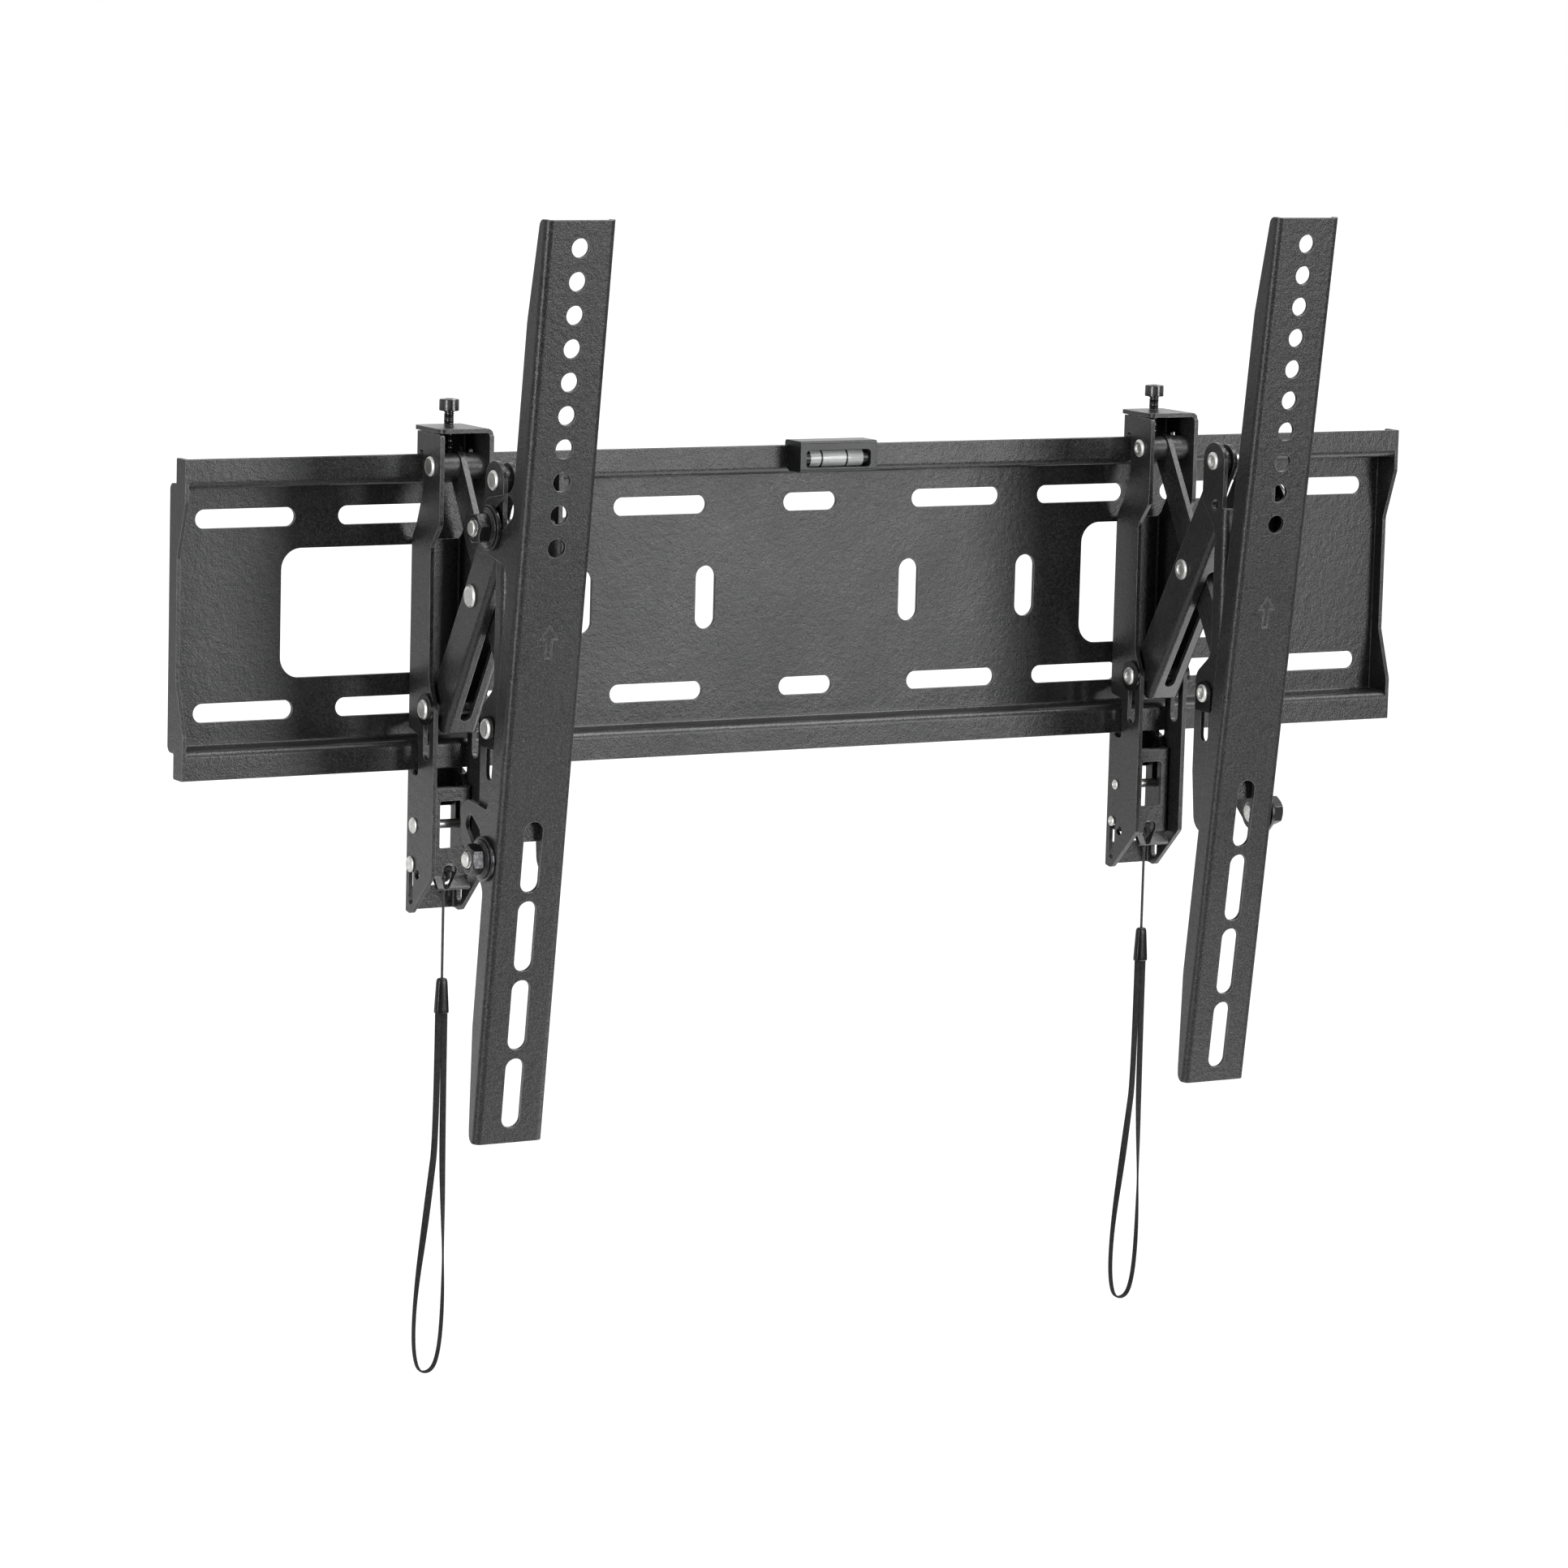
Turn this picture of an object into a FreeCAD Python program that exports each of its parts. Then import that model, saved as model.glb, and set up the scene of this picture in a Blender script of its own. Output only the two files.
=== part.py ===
import FreeCAD, Part
import math
import os
from FreeCAD import Vector

# Tilting wall bracket for a flat television.
# A folded wall plate carries two equal arm units. Each unit has a hook bracket that hangs on
# the plate's top lip and latches behind its bottom lip, a scissor of two arms, a tilt carrier
# and a vertical rail that is screwed to the television.
# Millimetres. X runs to the right seen from the room, Y runs into the wall, Z runs up.
# The origin is the centre of the wall plate's back face.

# Clearances
FIT = 0.05                 # radial play of a pin in its round hole
SLIDE = 0.25               # play of a pin or sheet in its slot, each side
SEAT = 0.15                # gap between flat faces of pieces that turn on each other
NEAR = 0.3                 # gap between pieces of one unit that only lie side by side
TOUCH = 0.02               # gap of pieces that are clamped or glued together

# Wall plate
PLATE_WIDTH = 681.0
PLATE_HEIGHT = 150.0
PLATE_SHEET = 2.0
PLATE_BEND = 1.5           # inside radius of its folds
LIP_FRONT = 17.0           # front face of the lips, from the wall
LIP_HEIGHT = 12.0          # lip above its ledge
LIP_EDGE_ROUND = 0.5
SLOT_FIRST = 83.5          # first long slot from the middle
SLOT_PITCH = 73.2
SLOT_COUNT = 4
SLOT_LENGTH = 51.0
SLOT_WIDTH = 9.0
SLOT_ROW = 45.5            # slot rows above and below the middle
CENTRE_SLOT_LENGTH = 30.0
CENTRE_SLOT_WIDTH = 9.0
UPRIGHT_SLOT_HEIGHT = 31.0
UPRIGHT_SLOT_WIDTH = 11.0
UPRIGHT_SLOT_PLACES = (57.4, 125.3)
WINDOW_MIDDLE = 221.4
WINDOW_WIDTH = 126.0
WINDOW_HEIGHT = 61.2
WINDOW_CORNER = 10.0
END_WAIST_DEPTH = 8.5      # end flange at the plate's mid height
END_WAIST_HALF = 29.0
END_FULL_HALF = 54.0
END_STEP = 7.0             # end flange behind the lips stands off the wall
END_ROUND = 6.0

# Spirit level clipped on the top lip
LEVEL_WIDTH = 42.8
LEVEL_FRONT = 29.0
LEVEL_WALL = 1.6
LEVEL_BELOW_LIP_TOP = 12.5
LEVEL_ABOVE_LIP_TOP = 2.6
LEVEL_ROUND = 1.5
VIAL_LENGTH = 36.0
VIAL_RADIUS = 4.5
VIAL_DROP = 6.0            # vial axis below the lip's top edge
LEVEL_VIEW_HEIGHT = 8.6

# Arm units
UNIT_MIDDLES = {"left": -205.3, "right": 189.9}

# Scissor
ARM_PITCH = 134.0          # between the two pivots of an arm
ARM_ANGLE = 30.9           # arm from upright, as it stands
FOLDED_ANGLE = 12.0        # arm from upright, folded against the wall
BACK_PIVOT_DEPTH = 26.5    # pivots on the hook bracket, from the wall
TOP_PIVOT_DROP = 5.0       # top pivots below the plate's top edge
PIVOT_RADIUS = 3.0
HEAD_RADIUS = 4.8
CENTRE_HEAD_RADIUS = 5.6
HEAD_HEIGHT = 1.7

# Hook bracket
HOOK_WIDTH = 28.0
HOOK_SHEET = 2.2
HOOK_BEND = 1.4
HOOK_BACK = 4.5            # back of its web, from the wall
HOOK_ABOVE_PLATE = 13.1
HOOK_BELOW_PLATE = 69.5
HOOK_HEAD_FRONT = 36.0
HOOK_WAIST_FRONT = 27.0
HOOK_FOOT_FRONT = 34.0
HOOK_WAIST_DROP = 38.0     # top of its waist below the top pivot
HOOK_WAIST_RISE = 13.0     # foot of its waist above the low pivot
HOOK_HEAD_DROP = 27.0      # foot of its head below the top pivot
HOOK_PRONG_BACK = 8.5
HOOK_PRONG_LENGTH = 8.5    # how far the hook reaches down behind the lip
HOOK_OVER_LIP = 2.0        # hook above the lip's top edge
HOOK_WEB_DROP = 0.5        # top of its lower web below the plate's bottom edge
HOOK_WEB_BRIDGE = 19.0     # web above the opening behind the latch
HOOK_WEB_FOOT = 11.5       # web under that opening
LIP_PLAY = 1.1             # hook and latch from the faces of a lip
TAB_SHEET = 2.1
TAB_DEPTH = 29.0
TAB_BEND = 1.4
SMALL_HOLE_RADIUS = 2.5
SMALL_HOLE_DEPTH = 18.7
SMALL_HOLE_DROP = 50.0     # below the plate's bottom edge

# Height screw in the hook bracket's tab
SCREW_RADIUS = 2.5
SCREW_HEAD_RADIUS = 4.7
SCREW_HEAD_HEIGHT = 5.6
SCREW_SHOWING = 7.0
SCREW_SOCKET_WIDTH = 4.0
SCREW_SOCKET_DEPTH = 2.6
SCREW_TIP_LENGTH = 1.0

# Inner arm
INNER_ARM_WIDTH = 14.0
INNER_ARM_SHEET = 2.8

# Outer arm
OUTER_ARM_WIDTH = 18.0
OUTER_ARM_SHEET = 2.0
OUTER_ARM_BEND = 1.2
OUTER_ARM_REAR = 7.5       # flange edge behind the pivot line
OUTER_ARM_FRONT = 12.5     # web face in front of the pivot line
OUTER_ARM_EAR = 8.0        # radius of its top ear
WEB_FROM_TOP_PIVOT = 37.0
WEB_PAST_LOW_PIVOT = 6.0
CROSS_SLOT_WIDTH = 5.8
CROSS_SLOT_ABOVE = 4.5     # slot in the web, above the crossing
CROSS_SLOT_BELOW = 62.0

# Spacers and washers of the scissor
SPACER_RADIUS = 6.15
BACK_WASHER_RADIUS = 7.5
WASHER_THICKNESS = 1.4
FRONT_WASHER_HALF = 6.2
FRONT_WASHER_DROP = 9.0

# Tilt carrier
CARRIER_PLAY = 0.5         # between the carrier and the rail's flanges, each side
CARRIER_SHEET = 2.0
CARRIER_BEND = 1.2
CARRIER_AHEAD = 11.3       # front face of its web, ahead of the front pivots
CARRIER_EAR = 9.0
CARRIER_EAR_FOOT = 14.0    # foot of its ear above its waist
CARRIER_WEB_DROP = 23.0    # top of its web below the top pivots
CARRIER_WAIST_DEPTH = 8.1
CARRIER_WAIST_DROP = 34.0  # top of its waist below the top pivots
CARRIER_WAIST_RISE = 19.0  # foot of its waist above the low pivots
CARRIER_FOOT_BEHIND = 9.3  # rear edge of its foot, behind the front pivots
CARRIER_FOOT_RISE = 20.3   # top of its foot above the lower tilt bolt
CARRIER_WEB_RISE = 8.3     # foot of its web above the lower tilt bolt
PIN_SLOT_SPARE = 5.0       # slots of the lower pivots, past the folded place
ACCESS_HOLE_RADIUS = 2.75

# Tilt bolts, which stay on the carrier while the rail turns about a point in front of it
BOLT_AHEAD = 2.7           # of the front pivots
UPPER_BOLT_DROP = 21.5     # below the top pivots
LOWER_BOLT_DROP = 175.3
BOLT_RADIUS = 4.0
BOLT_HEAD_RADIUS = 5.6
BOLT_HEAD_HEIGHT = 3.4
BOLT_END = 1.6             # stud end beyond the nut
FRICTION_WASHER_RADIUS = 10.6
FRICTION_WASHER_THICKNESS = 2.0
SPRING_WASHER_RADIUS = 9.4
SPRING_WASHER_THICKNESS = 1.6
NUT_FLATS = 13.0
NUT_HEIGHT = 5.5

# Television rail, in its own frame: down from the top hole, and back from its front face
RAIL_WIDTH = 36.0
RAIL_SHEET = 2.0
RAIL_BEND = 1.5
RAIL_TOP_MARGIN = 12.65
RAIL_BOTTOM_MARGIN = 24.3
RAIL_LEAN = 7.25           # degrees from upright, top forward, as it stands
RAIL_TILT_RANGE = 12.0
RAIL_OFF_CARRIER = 2.22    # rail's web from the foot of the carrier's web
TOP_HOLE_RISE = 109.3      # top hole above the top pivots
RAIL_HOLE_COUNT = 10
RAIL_HOLE_PITCH = 15.42
RAIL_HOLE_RADIUS = 4.5
RAIL_SLOT_COUNT = 4
RAIL_SLOT_PITCH = 38.2
RAIL_LAST_SLOT = 400.0
RAIL_SLOT_WIDTH = 9.6
RAIL_SLOT_LENGTH = 34.0
RAIL_END_FLANGE = 7.0
RAIL_FLANGE = 12.0
RAIL_TAPER_TOP = 36.0      # where the flange has its full depth
RAIL_TAPER_BOTTOM = 370.0
RAIL_TAPER_ROUND = 30.0    # radius where the flange's taper ends
PIVOT_AHEAD = 35.0         # the point it turns about, ahead of its front face
PIVOT_DOWN = 198.0
UPPER_TILT_SLOT_RADIUS = 6.1
LOWER_TILT_SLOT_NARROW = 4.8
LOWER_TILT_SLOT_WIDE = 6.8
EAR_ROUND = 11.0
ARROW_TIP = 175.4          # below the rail's top hole
ARROW_HEAD = 6.1
ARROW_LENGTH = 15.1
ARROW_HEAD_WIDTH = 8.5
ARROW_SHAFT_WIDTH = 3.0
ARROW_LINE = 0.5
ARROW_DEPTH = 0.3

# Latch in the foot of the hook bracket
LATCH_PLAY = 0.6           # latch from the bracket's flanges
LATCH_SHEET = 2.0
LATCH_BEND = 1.0
LATCH_FRONT = 26.0
LATCH_REAR = 7.4
LATCH_TOP_DROP = 7.8       # these drops are below the plate's bottom edge
LATCH_BOTTOM_DROP = 51.0
LATCH_TRAVEL = 17.0
LATCH_WINDOW_WIDTH = 11.7
LATCH_WINDOW_DROP = 14.4
LATCH_WINDOW_HEIGHT = 22.6
LATCH_LIP_HALF = 8.5
LATCH_LIP_REACH = 4.6
LATCH_LIP_DROP = 5.1
LATCH_NOSE_WIDTH = 4.8
LATCH_NOSE_OVERLAP = 5.0   # nose above the plate's bottom edge
LATCH_NOSE_DROP = 3.0
LATCH_PIN_RADIUS = 2.2
GUIDE_PIN_DEPTH = 14.5
GUIDE_PIN_DROP = 27.0
LATCH_PIN_DEPTH = 12.3
LATCH_PIN_DROP = 46.0
SMALL_HEAD_RADIUS = 3.9
KEYHOLE_RADIUS = 3.5
KEYHOLE_DROP = 47.8
KEYHOLE_SLOT = 7.0         # its slot's end below its round end

# Latch spring
SPRING_RADIUS = 3.0
SPRING_WIRE = 0.8
SPRING_PLAY = 1.2          # between the spring and the latch's flange
SPRING_HOOK_WIRE = 0.5

# Pull cord of the latch
CORD_SIDE = -4.0
CORD_DEPTH = 27.3
CORD_DROP = 50.6
STRING_DIAMETER = 1.2
STRING_PLAY = 0.75         # between the string and its slot, each side
STRING_LENGTH = 48.4
FERRULE_HEIGHT = 17.0
FERRULE_TOP_WIDTH = 4.2
FERRULE_TOP_DEPTH = 3.6
FERRULE_WIDTH = 7.0
FERRULE_DEPTH = 5.0
FERRULE_CORNER = 1.0
STRAP_WIDTH = 3.2
STRAP_THICKNESS = 1.2

# Route of the strap: sideways from the ferrule's axis, and up from the ferrule's bottom
STRAP_ROUTE = (
    (-1.65, 0.0),
    (-1.65, -60.0),
    (-4.2, -82.0),
    (-7.0, -105.0),
    (-10.4, -130.0),
    (-11.9, -150.0),
    (-11.5, -165.0),
    (-8.7, -174.6),
    (-1.6, -174.2),
    (1.7, -165.0),
    (3.2, -148.0),
    (3.4, -124.0),
    (2.7, -98.0),
    (1.65, -64.0),
    (1.65, 0.0),
)

# Sizes that follow from the ones above
HALF_PLATE = PLATE_WIDTH / 2
LIP_TOP = PLATE_HEIGHT / 2
LEDGE_FACE = LIP_TOP - LIP_HEIGHT
LIP_BACK = LIP_FRONT - PLATE_SHEET
HOOK_HALF = HOOK_WIDTH / 2
HOOK_INSIDE = HOOK_HALF - HOOK_SHEET
OUTER_ARM_HALF = OUTER_ARM_WIDTH / 2
RAIL_HALF = RAIL_WIDTH / 2
CARRIER_HALF = RAIL_HALF - RAIL_SHEET - CARRIER_PLAY
CARRIER_WIDTH = 2 * CARRIER_HALF
CARRIER_INSIDE = CARRIER_HALF - CARRIER_SHEET
LATCH_HALF = HOOK_INSIDE - LATCH_PLAY
SPRING_SIDE = SPRING_RADIUS + SPRING_PLAY + LATCH_SHEET - LATCH_HALF
ARM_SPAN = ARM_PITCH * math.cos(math.radians(ARM_ANGLE))
ARM_REACH = ARM_PITCH * math.sin(math.radians(ARM_ANGLE))
FOLDED_SPAN = ARM_PITCH * math.cos(math.radians(FOLDED_ANGLE))
BACK_Y = -BACK_PIVOT_DEPTH
FRONT_Y = BACK_Y - ARM_REACH
TOP_Z = LIP_TOP - TOP_PIVOT_DROP
LOW_Z = TOP_Z - ARM_SPAN
CROSSING = ((BACK_Y + FRONT_Y) / 2, (TOP_Z + LOW_Z) / 2)
HOOK_TOP = LIP_TOP + HOOK_ABOVE_PLATE
HOOK_BOTTOM = LIP_TOP + HOOK_BELOW_PLATE
SMALL_HOLE_HEIGHT = -LIP_TOP - SMALL_HOLE_DROP
BOLT_Y = FRONT_Y - BOLT_AHEAD
UPPER_BOLT_HEIGHT = TOP_Z - UPPER_BOLT_DROP
LOWER_BOLT_HEIGHT = TOP_Z - LOWER_BOLT_DROP
CARRIER_FRONT = CARRIER_AHEAD - FRONT_Y
CARRIER_FOOT_REAR = -FRONT_Y - CARRIER_FOOT_BEHIND
CARRIER_WEB_TOP = TOP_Z - CARRIER_WEB_DROP
CARRIER_WEB_BOTTOM = LOWER_BOLT_HEIGHT + CARRIER_WEB_RISE
CARRIER_WAIST_TOP = TOP_Z - CARRIER_WAIST_DROP
CARRIER_WAIST_BOTTOM = LOW_Z + CARRIER_WAIST_RISE
LEAN = math.radians(RAIL_LEAN)
TOP_HOLE_HEIGHT = TOP_Z + TOP_HOLE_RISE
TOP_HOLE_DEPTH = (CARRIER_FRONT + RAIL_OFF_CARRIER + RAIL_SHEET / math.cos(LEAN)
                  + (TOP_HOLE_HEIGHT - CARRIER_WEB_BOTTOM) * math.tan(LEAN))
LATCH_TOP = -LIP_TOP - LATCH_TOP_DROP
LATCH_BOTTOM = -LIP_TOP - LATCH_BOTTOM_DROP
LATCH_WINDOW_TOP = -LIP_TOP - LATCH_WINDOW_DROP
LATCH_NOSE_TOP = -LIP_TOP + LATCH_NOSE_OVERLAP
LATCH_NOSE_ROOT = -LIP_TOP - LATCH_NOSE_DROP
GUIDE_PIN_HEIGHT = -LIP_TOP - GUIDE_PIN_DROP
LATCH_PIN_HEIGHT = -LIP_TOP - LATCH_PIN_DROP
KEYHOLE_HEIGHT = -LIP_TOP - KEYHOLE_DROP
CORD_TOP = -LIP_TOP - CORD_DROP
STRING_BOTTOM = CORD_TOP - STRING_LENGTH
SCREW_Y = -(LIP_FRONT + LIP_BACK) / 2
FERRULE_BOTTOM = STRING_BOTTOM - FERRULE_HEIGHT


# Shapes from outlines

def rounded_wire(corners, place):
    """Closed wire through corners (u, v, radius); place turns (u, v) into a point."""
    count = len(corners)
    starts = []
    middles = []
    ends = []
    for index, (u, v, radius) in enumerate(corners):
        before = corners[index - 1]
        after = corners[(index + 1) % count]
        back = unit_step(u, v, before[0], before[1])
        ahead = unit_step(u, v, after[0], after[1])
        bisector = unit_step(0, 0, back[0] + ahead[0], back[1] + ahead[1])
        half_angle = math.acos(max(-1.0, min(1.0, back[0] * ahead[0] + back[1] * ahead[1]))) / 2
        cut = radius / math.tan(half_angle)
        to_arc = radius / math.sin(half_angle) - radius
        starts.append(place(u + back[0] * cut, v + back[1] * cut))
        middles.append(place(u + bisector[0] * to_arc, v + bisector[1] * to_arc))
        ends.append(place(u + ahead[0] * cut, v + ahead[1] * cut))
    edges = []
    for index in range(count):
        previous_end = ends[index - 1]
        if previous_end.distanceToPoint(starts[index]) > 1e-6:
            edges.append(Part.LineSegment(previous_end, starts[index]).toShape())
        if corners[index][2] > 0:
            edges.append(Part.Arc(starts[index], middles[index], ends[index]).toShape())
    return Part.Wire(edges)


def unit_step(u, v, to_u, to_v):
    """Unit vector from (u, v) to (to_u, to_v)."""
    length = math.hypot(to_u - u, to_v - v)
    return (to_u - u) / length, (to_v - v) / length


def prism_x(corners, start, end):
    """Outline in (y, z), from x = start to x = end."""
    wire = rounded_wire(corners, lambda y, z: Vector(start, y, z))
    return Part.Face(wire).extrude(Vector(end - start, 0, 0))


def prism_y(corners, start, end):
    """Outline in (x, z), from y = start to y = end."""
    wire = rounded_wire(corners, lambda x, z: Vector(x, start, z))
    return Part.Face(wire).extrude(Vector(0, end - start, 0))


def prism_z(corners, start, end):
    """Outline in (x, y), from z = start to z = end."""
    wire = rounded_wire(corners, lambda x, y: Vector(x, y, start))
    return Part.Face(wire).extrude(Vector(0, 0, end - start))


def rectangle(middle_u, middle_v, width, height, radius=0.0):
    """Corners of a rectangle about its middle."""
    u = width / 2
    v = height / 2
    signs = ((-1, -1), (1, -1), (1, 1), (-1, 1))
    return [(middle_u + a * u, middle_v + b * v, radius) for a, b in signs]


def rod_x(y, z, radius, start, end):
    """Cylinder along X."""
    return Part.makeCylinder(radius, end - start, Vector(start, y, z), Vector(1, 0, 0))


def slot_prism(first, first_radius, last, last_radius, place, depth):
    """Slot between two circles in a plane, extruded by depth; place turns (u, v) into a point."""
    length = math.hypot(last[0] - first[0], last[1] - first[1])
    along = unit_step(first[0], first[1], last[0], last[1])
    swing = math.acos((first_radius - last_radius) / length)

    def rim(centre, radius, angle):
        """Point of a circle at an angle from the slot's direction."""
        turned_u = along[0] * math.cos(angle) - along[1] * math.sin(angle)
        turned_v = along[0] * math.sin(angle) + along[1] * math.cos(angle)
        return place(centre[0] + radius * turned_u, centre[1] + radius * turned_v)

    edges = [
        Part.LineSegment(rim(first, first_radius, swing), rim(last, last_radius, swing)).toShape(),
        Part.Arc(rim(last, last_radius, swing), rim(last, last_radius, 0),
                 rim(last, last_radius, -swing)).toShape(),
        Part.LineSegment(rim(last, last_radius, -swing), rim(first, first_radius, -swing)).toShape(),
        Part.Arc(rim(first, first_radius, -swing), rim(first, first_radius, math.pi),
                 rim(first, first_radius, swing)).toShape(),
    ]
    return Part.Face(Part.Wire(edges)).extrude(depth)


def slot_x(first, last, radius, half_width, last_radius=None):
    """Slot in (y, z), cut through from x = -half_width to x = half_width."""
    end_radius = radius if last_radius is None else last_radius
    return slot_prism(first, radius, last, end_radius, lambda y, z: Vector(-half_width, y, z),
                      Vector(2 * half_width, 0, 0))


def slot_y(first, last, radius, start, end, last_radius=None):
    """Slot in (x, z), from y = start to y = end."""
    end_radius = radius if last_radius is None else last_radius
    return slot_prism(first, radius, last, end_radius, lambda x, z: Vector(x, start, z),
                      Vector(0, end - start, 0))


def channel(half_width, sheet, bend, web_face, open_edge):
    """Corners (across, depth, radius) of a folded channel: its web is at web_face."""
    inward = sheet if open_edge > web_face else -sheet
    inside = half_width - sheet
    return [
        (-half_width, open_edge, 0),
        (-half_width, web_face, bend + sheet),
        (half_width, web_face, bend + sheet),
        (half_width, open_edge, 0),
        (inside, open_edge, 0),
        (inside, web_face + inward, bend),
        (-inside, web_face + inward, bend),
        (-inside, open_edge, 0),
    ]


def turned(outline_points):
    """Solid of revolution about X from (x, radius) points, closed on the axis."""
    corners = [(x, radius, 0) for x, radius in outline_points]
    wire = rounded_wire(corners, lambda x, radius: Vector(x, 0, radius))
    return Part.Face(wire).revolve(Vector(0, 0, 0), Vector(1, 0, 0), 360)


def rivet(y, z, radius, head_radius, head_height, seat):
    """Pin along X with a low head past x = -seat and x = seat."""
    rim = head_height * 0.45
    crown = head_radius * 0.72
    tip = seat + head_height
    points = [
        (-tip, 0), (-tip, crown), (-seat - rim, head_radius), (-seat, head_radius), (-seat, radius),
        (seat, radius), (seat, head_radius), (seat + rim, head_radius), (tip, crown), (tip, 0),
    ]
    return turned(points).translate(Vector(0, y, z))


def ring_x(y, z, outer, inner, start, end):
    """Washer or spacer along X."""
    return rod_x(y, z, outer, start, end).cut(rod_x(y, z, inner, start - 1, end + 1))


def both_sides(piece):
    """The piece and its mirror image about the unit's middle."""
    return [piece, mirrored(piece)]


def mirrored(shape):
    """Mirror image about X = 0."""
    return shape.mirror(Vector(0, 0, 0), Vector(1, 0, 0))


# Wall plate and spirit level

def wall_plate():
    """One folded sheet with its lips, end flanges, slots and windows."""
    plate = prism_x(plate_section(), -HALF_PLATE, HALF_PLATE)
    for side in (-1, 1):
        edge = side * HALF_PLATE
        plate = plate.fuse(prism_x(end_flange_outline(), min(edge, edge - side * PLATE_SHEET),
                                   max(edge, edge - side * PLATE_SHEET)))
    return plate.cut(Part.makeCompound(plate_openings())).removeSplitter()


def plate_section():
    """Section of the plate: panel, ledges and lips."""
    inner = PLATE_BEND
    outer = PLATE_BEND + PLATE_SHEET
    inside_ledge = LEDGE_FACE - PLATE_SHEET
    upper = [
        (0, LEDGE_FACE, outer), (-LIP_BACK, LEDGE_FACE, inner),
        (-LIP_BACK, LIP_TOP, LIP_EDGE_ROUND), (-LIP_FRONT, LIP_TOP, LIP_EDGE_ROUND),
        (-LIP_FRONT, inside_ledge, outer), (-PLATE_SHEET, inside_ledge, inner),
    ]
    lower = [(y, -z, radius) for y, z, radius in reversed(upper)]
    return upper + lower


def end_flange_outline():
    """Side view of an end flange: full depth at the lips, a waist between them."""
    upper = [
        (0, LEDGE_FACE - PLATE_SHEET, 1), (-END_STEP, LEDGE_FACE, 1), (-END_STEP, LIP_TOP, 1),
        (-LIP_FRONT, LIP_TOP, 2), (-LIP_FRONT, END_FULL_HALF, END_ROUND),
        (-END_WAIST_DEPTH, END_WAIST_HALF, END_ROUND),
    ]
    lower = [(y, -z, radius) for y, z, radius in reversed(upper)]
    return upper + lower


def plate_openings():
    """Everything that is punched out of the plate's panel."""
    front = -PLATE_SHEET - 1
    back = 1
    cuts = []
    long_places = [side * (SLOT_FIRST + SLOT_PITCH * k) for side in (-1, 1) for k in range(SLOT_COUNT)]
    for z in (-SLOT_ROW, SLOT_ROW):
        for x in long_places:
            cuts.append(level_slot(x, z, SLOT_LENGTH, SLOT_WIDTH, front, back))
        cuts.append(level_slot(0, z, CENTRE_SLOT_LENGTH, CENTRE_SLOT_WIDTH, front, back))
    reach = (UPRIGHT_SLOT_HEIGHT - UPRIGHT_SLOT_WIDTH) / 2
    for side in (-1, 1):
        for place in UPRIGHT_SLOT_PLACES:
            cuts.append(slot_y((side * place, -reach), (side * place, reach),
                               UPRIGHT_SLOT_WIDTH / 2, front, back))
        cuts.append(prism_y(rectangle(side * WINDOW_MIDDLE, 0, WINDOW_WIDTH, WINDOW_HEIGHT,
                                      WINDOW_CORNER), front, back))
    return cuts


def level_slot(x, z, length, width, start, end):
    """Horizontal slot in the panel."""
    reach = (length - width) / 2
    return slot_y((x - reach, z), (x + reach, z), width / 2, start, end)


def level_housing():
    """Moulded holder of the vial, pushed over the plate's top lip."""
    top = LIP_TOP + LEVEL_ABOVE_LIP_TOP
    bottom = LIP_TOP - LEVEL_BELOW_LIP_TOP
    back = -LIP_BACK + TOUCH + LEVEL_WALL
    half = LEVEL_WIDTH / 2
    body = prism_x([(-LEVEL_FRONT, bottom, LEVEL_ROUND), (-LEVEL_FRONT, top, LEVEL_ROUND),
                    (back, top, LEVEL_ROUND), (back, LEDGE_FACE + PLATE_BEND + 1, 0.5),
                    (-LIP_FRONT - 1, bottom, 0.5)], -half, half)
    lip_slot = prism_x(rectangle(-(LIP_FRONT + LIP_BACK) / 2, LIP_TOP - LIP_HEIGHT,
                                 PLATE_SHEET + 2 * TOUCH, 2 * (LIP_HEIGHT + TOUCH)),
                       -half - 1, half + 1)
    below = Part.makeBox(LEVEL_WIDTH + 2, LIP_FRONT, LEVEL_BELOW_LIP_TOP,
                         Vector(-half - 1, -LIP_FRONT - TOUCH,
                                LEDGE_FACE + PLATE_BEND + 1 - LEVEL_BELOW_LIP_TOP))
    vial_y, vial_z = vial_place()
    bore = rod_x(vial_y, vial_z, VIAL_RADIUS + TOUCH, -VIAL_LENGTH / 2 - TOUCH,
                 VIAL_LENGTH / 2 + TOUCH)
    view = prism_y(rectangle(0, vial_z, VIAL_LENGTH, LEVEL_VIEW_HEIGHT, 2), -LEVEL_FRONT - 1, vial_y)
    return body.cut(Part.makeCompound([lip_slot, below])).cut(bore).cut(view)


def vial_place():
    """Axis of the vial, as (y, z)."""
    return -(LIP_FRONT + TOUCH + LEVEL_WALL + VIAL_RADIUS), LIP_TOP - VIAL_DROP


def level_vial():
    """Closed clear tube that holds the liquid and the bubble."""
    y, z = vial_place()
    return rod_x(y, z, VIAL_RADIUS, -VIAL_LENGTH / 2, VIAL_LENGTH / 2)


# Hook bracket and what is fixed to it

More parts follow.
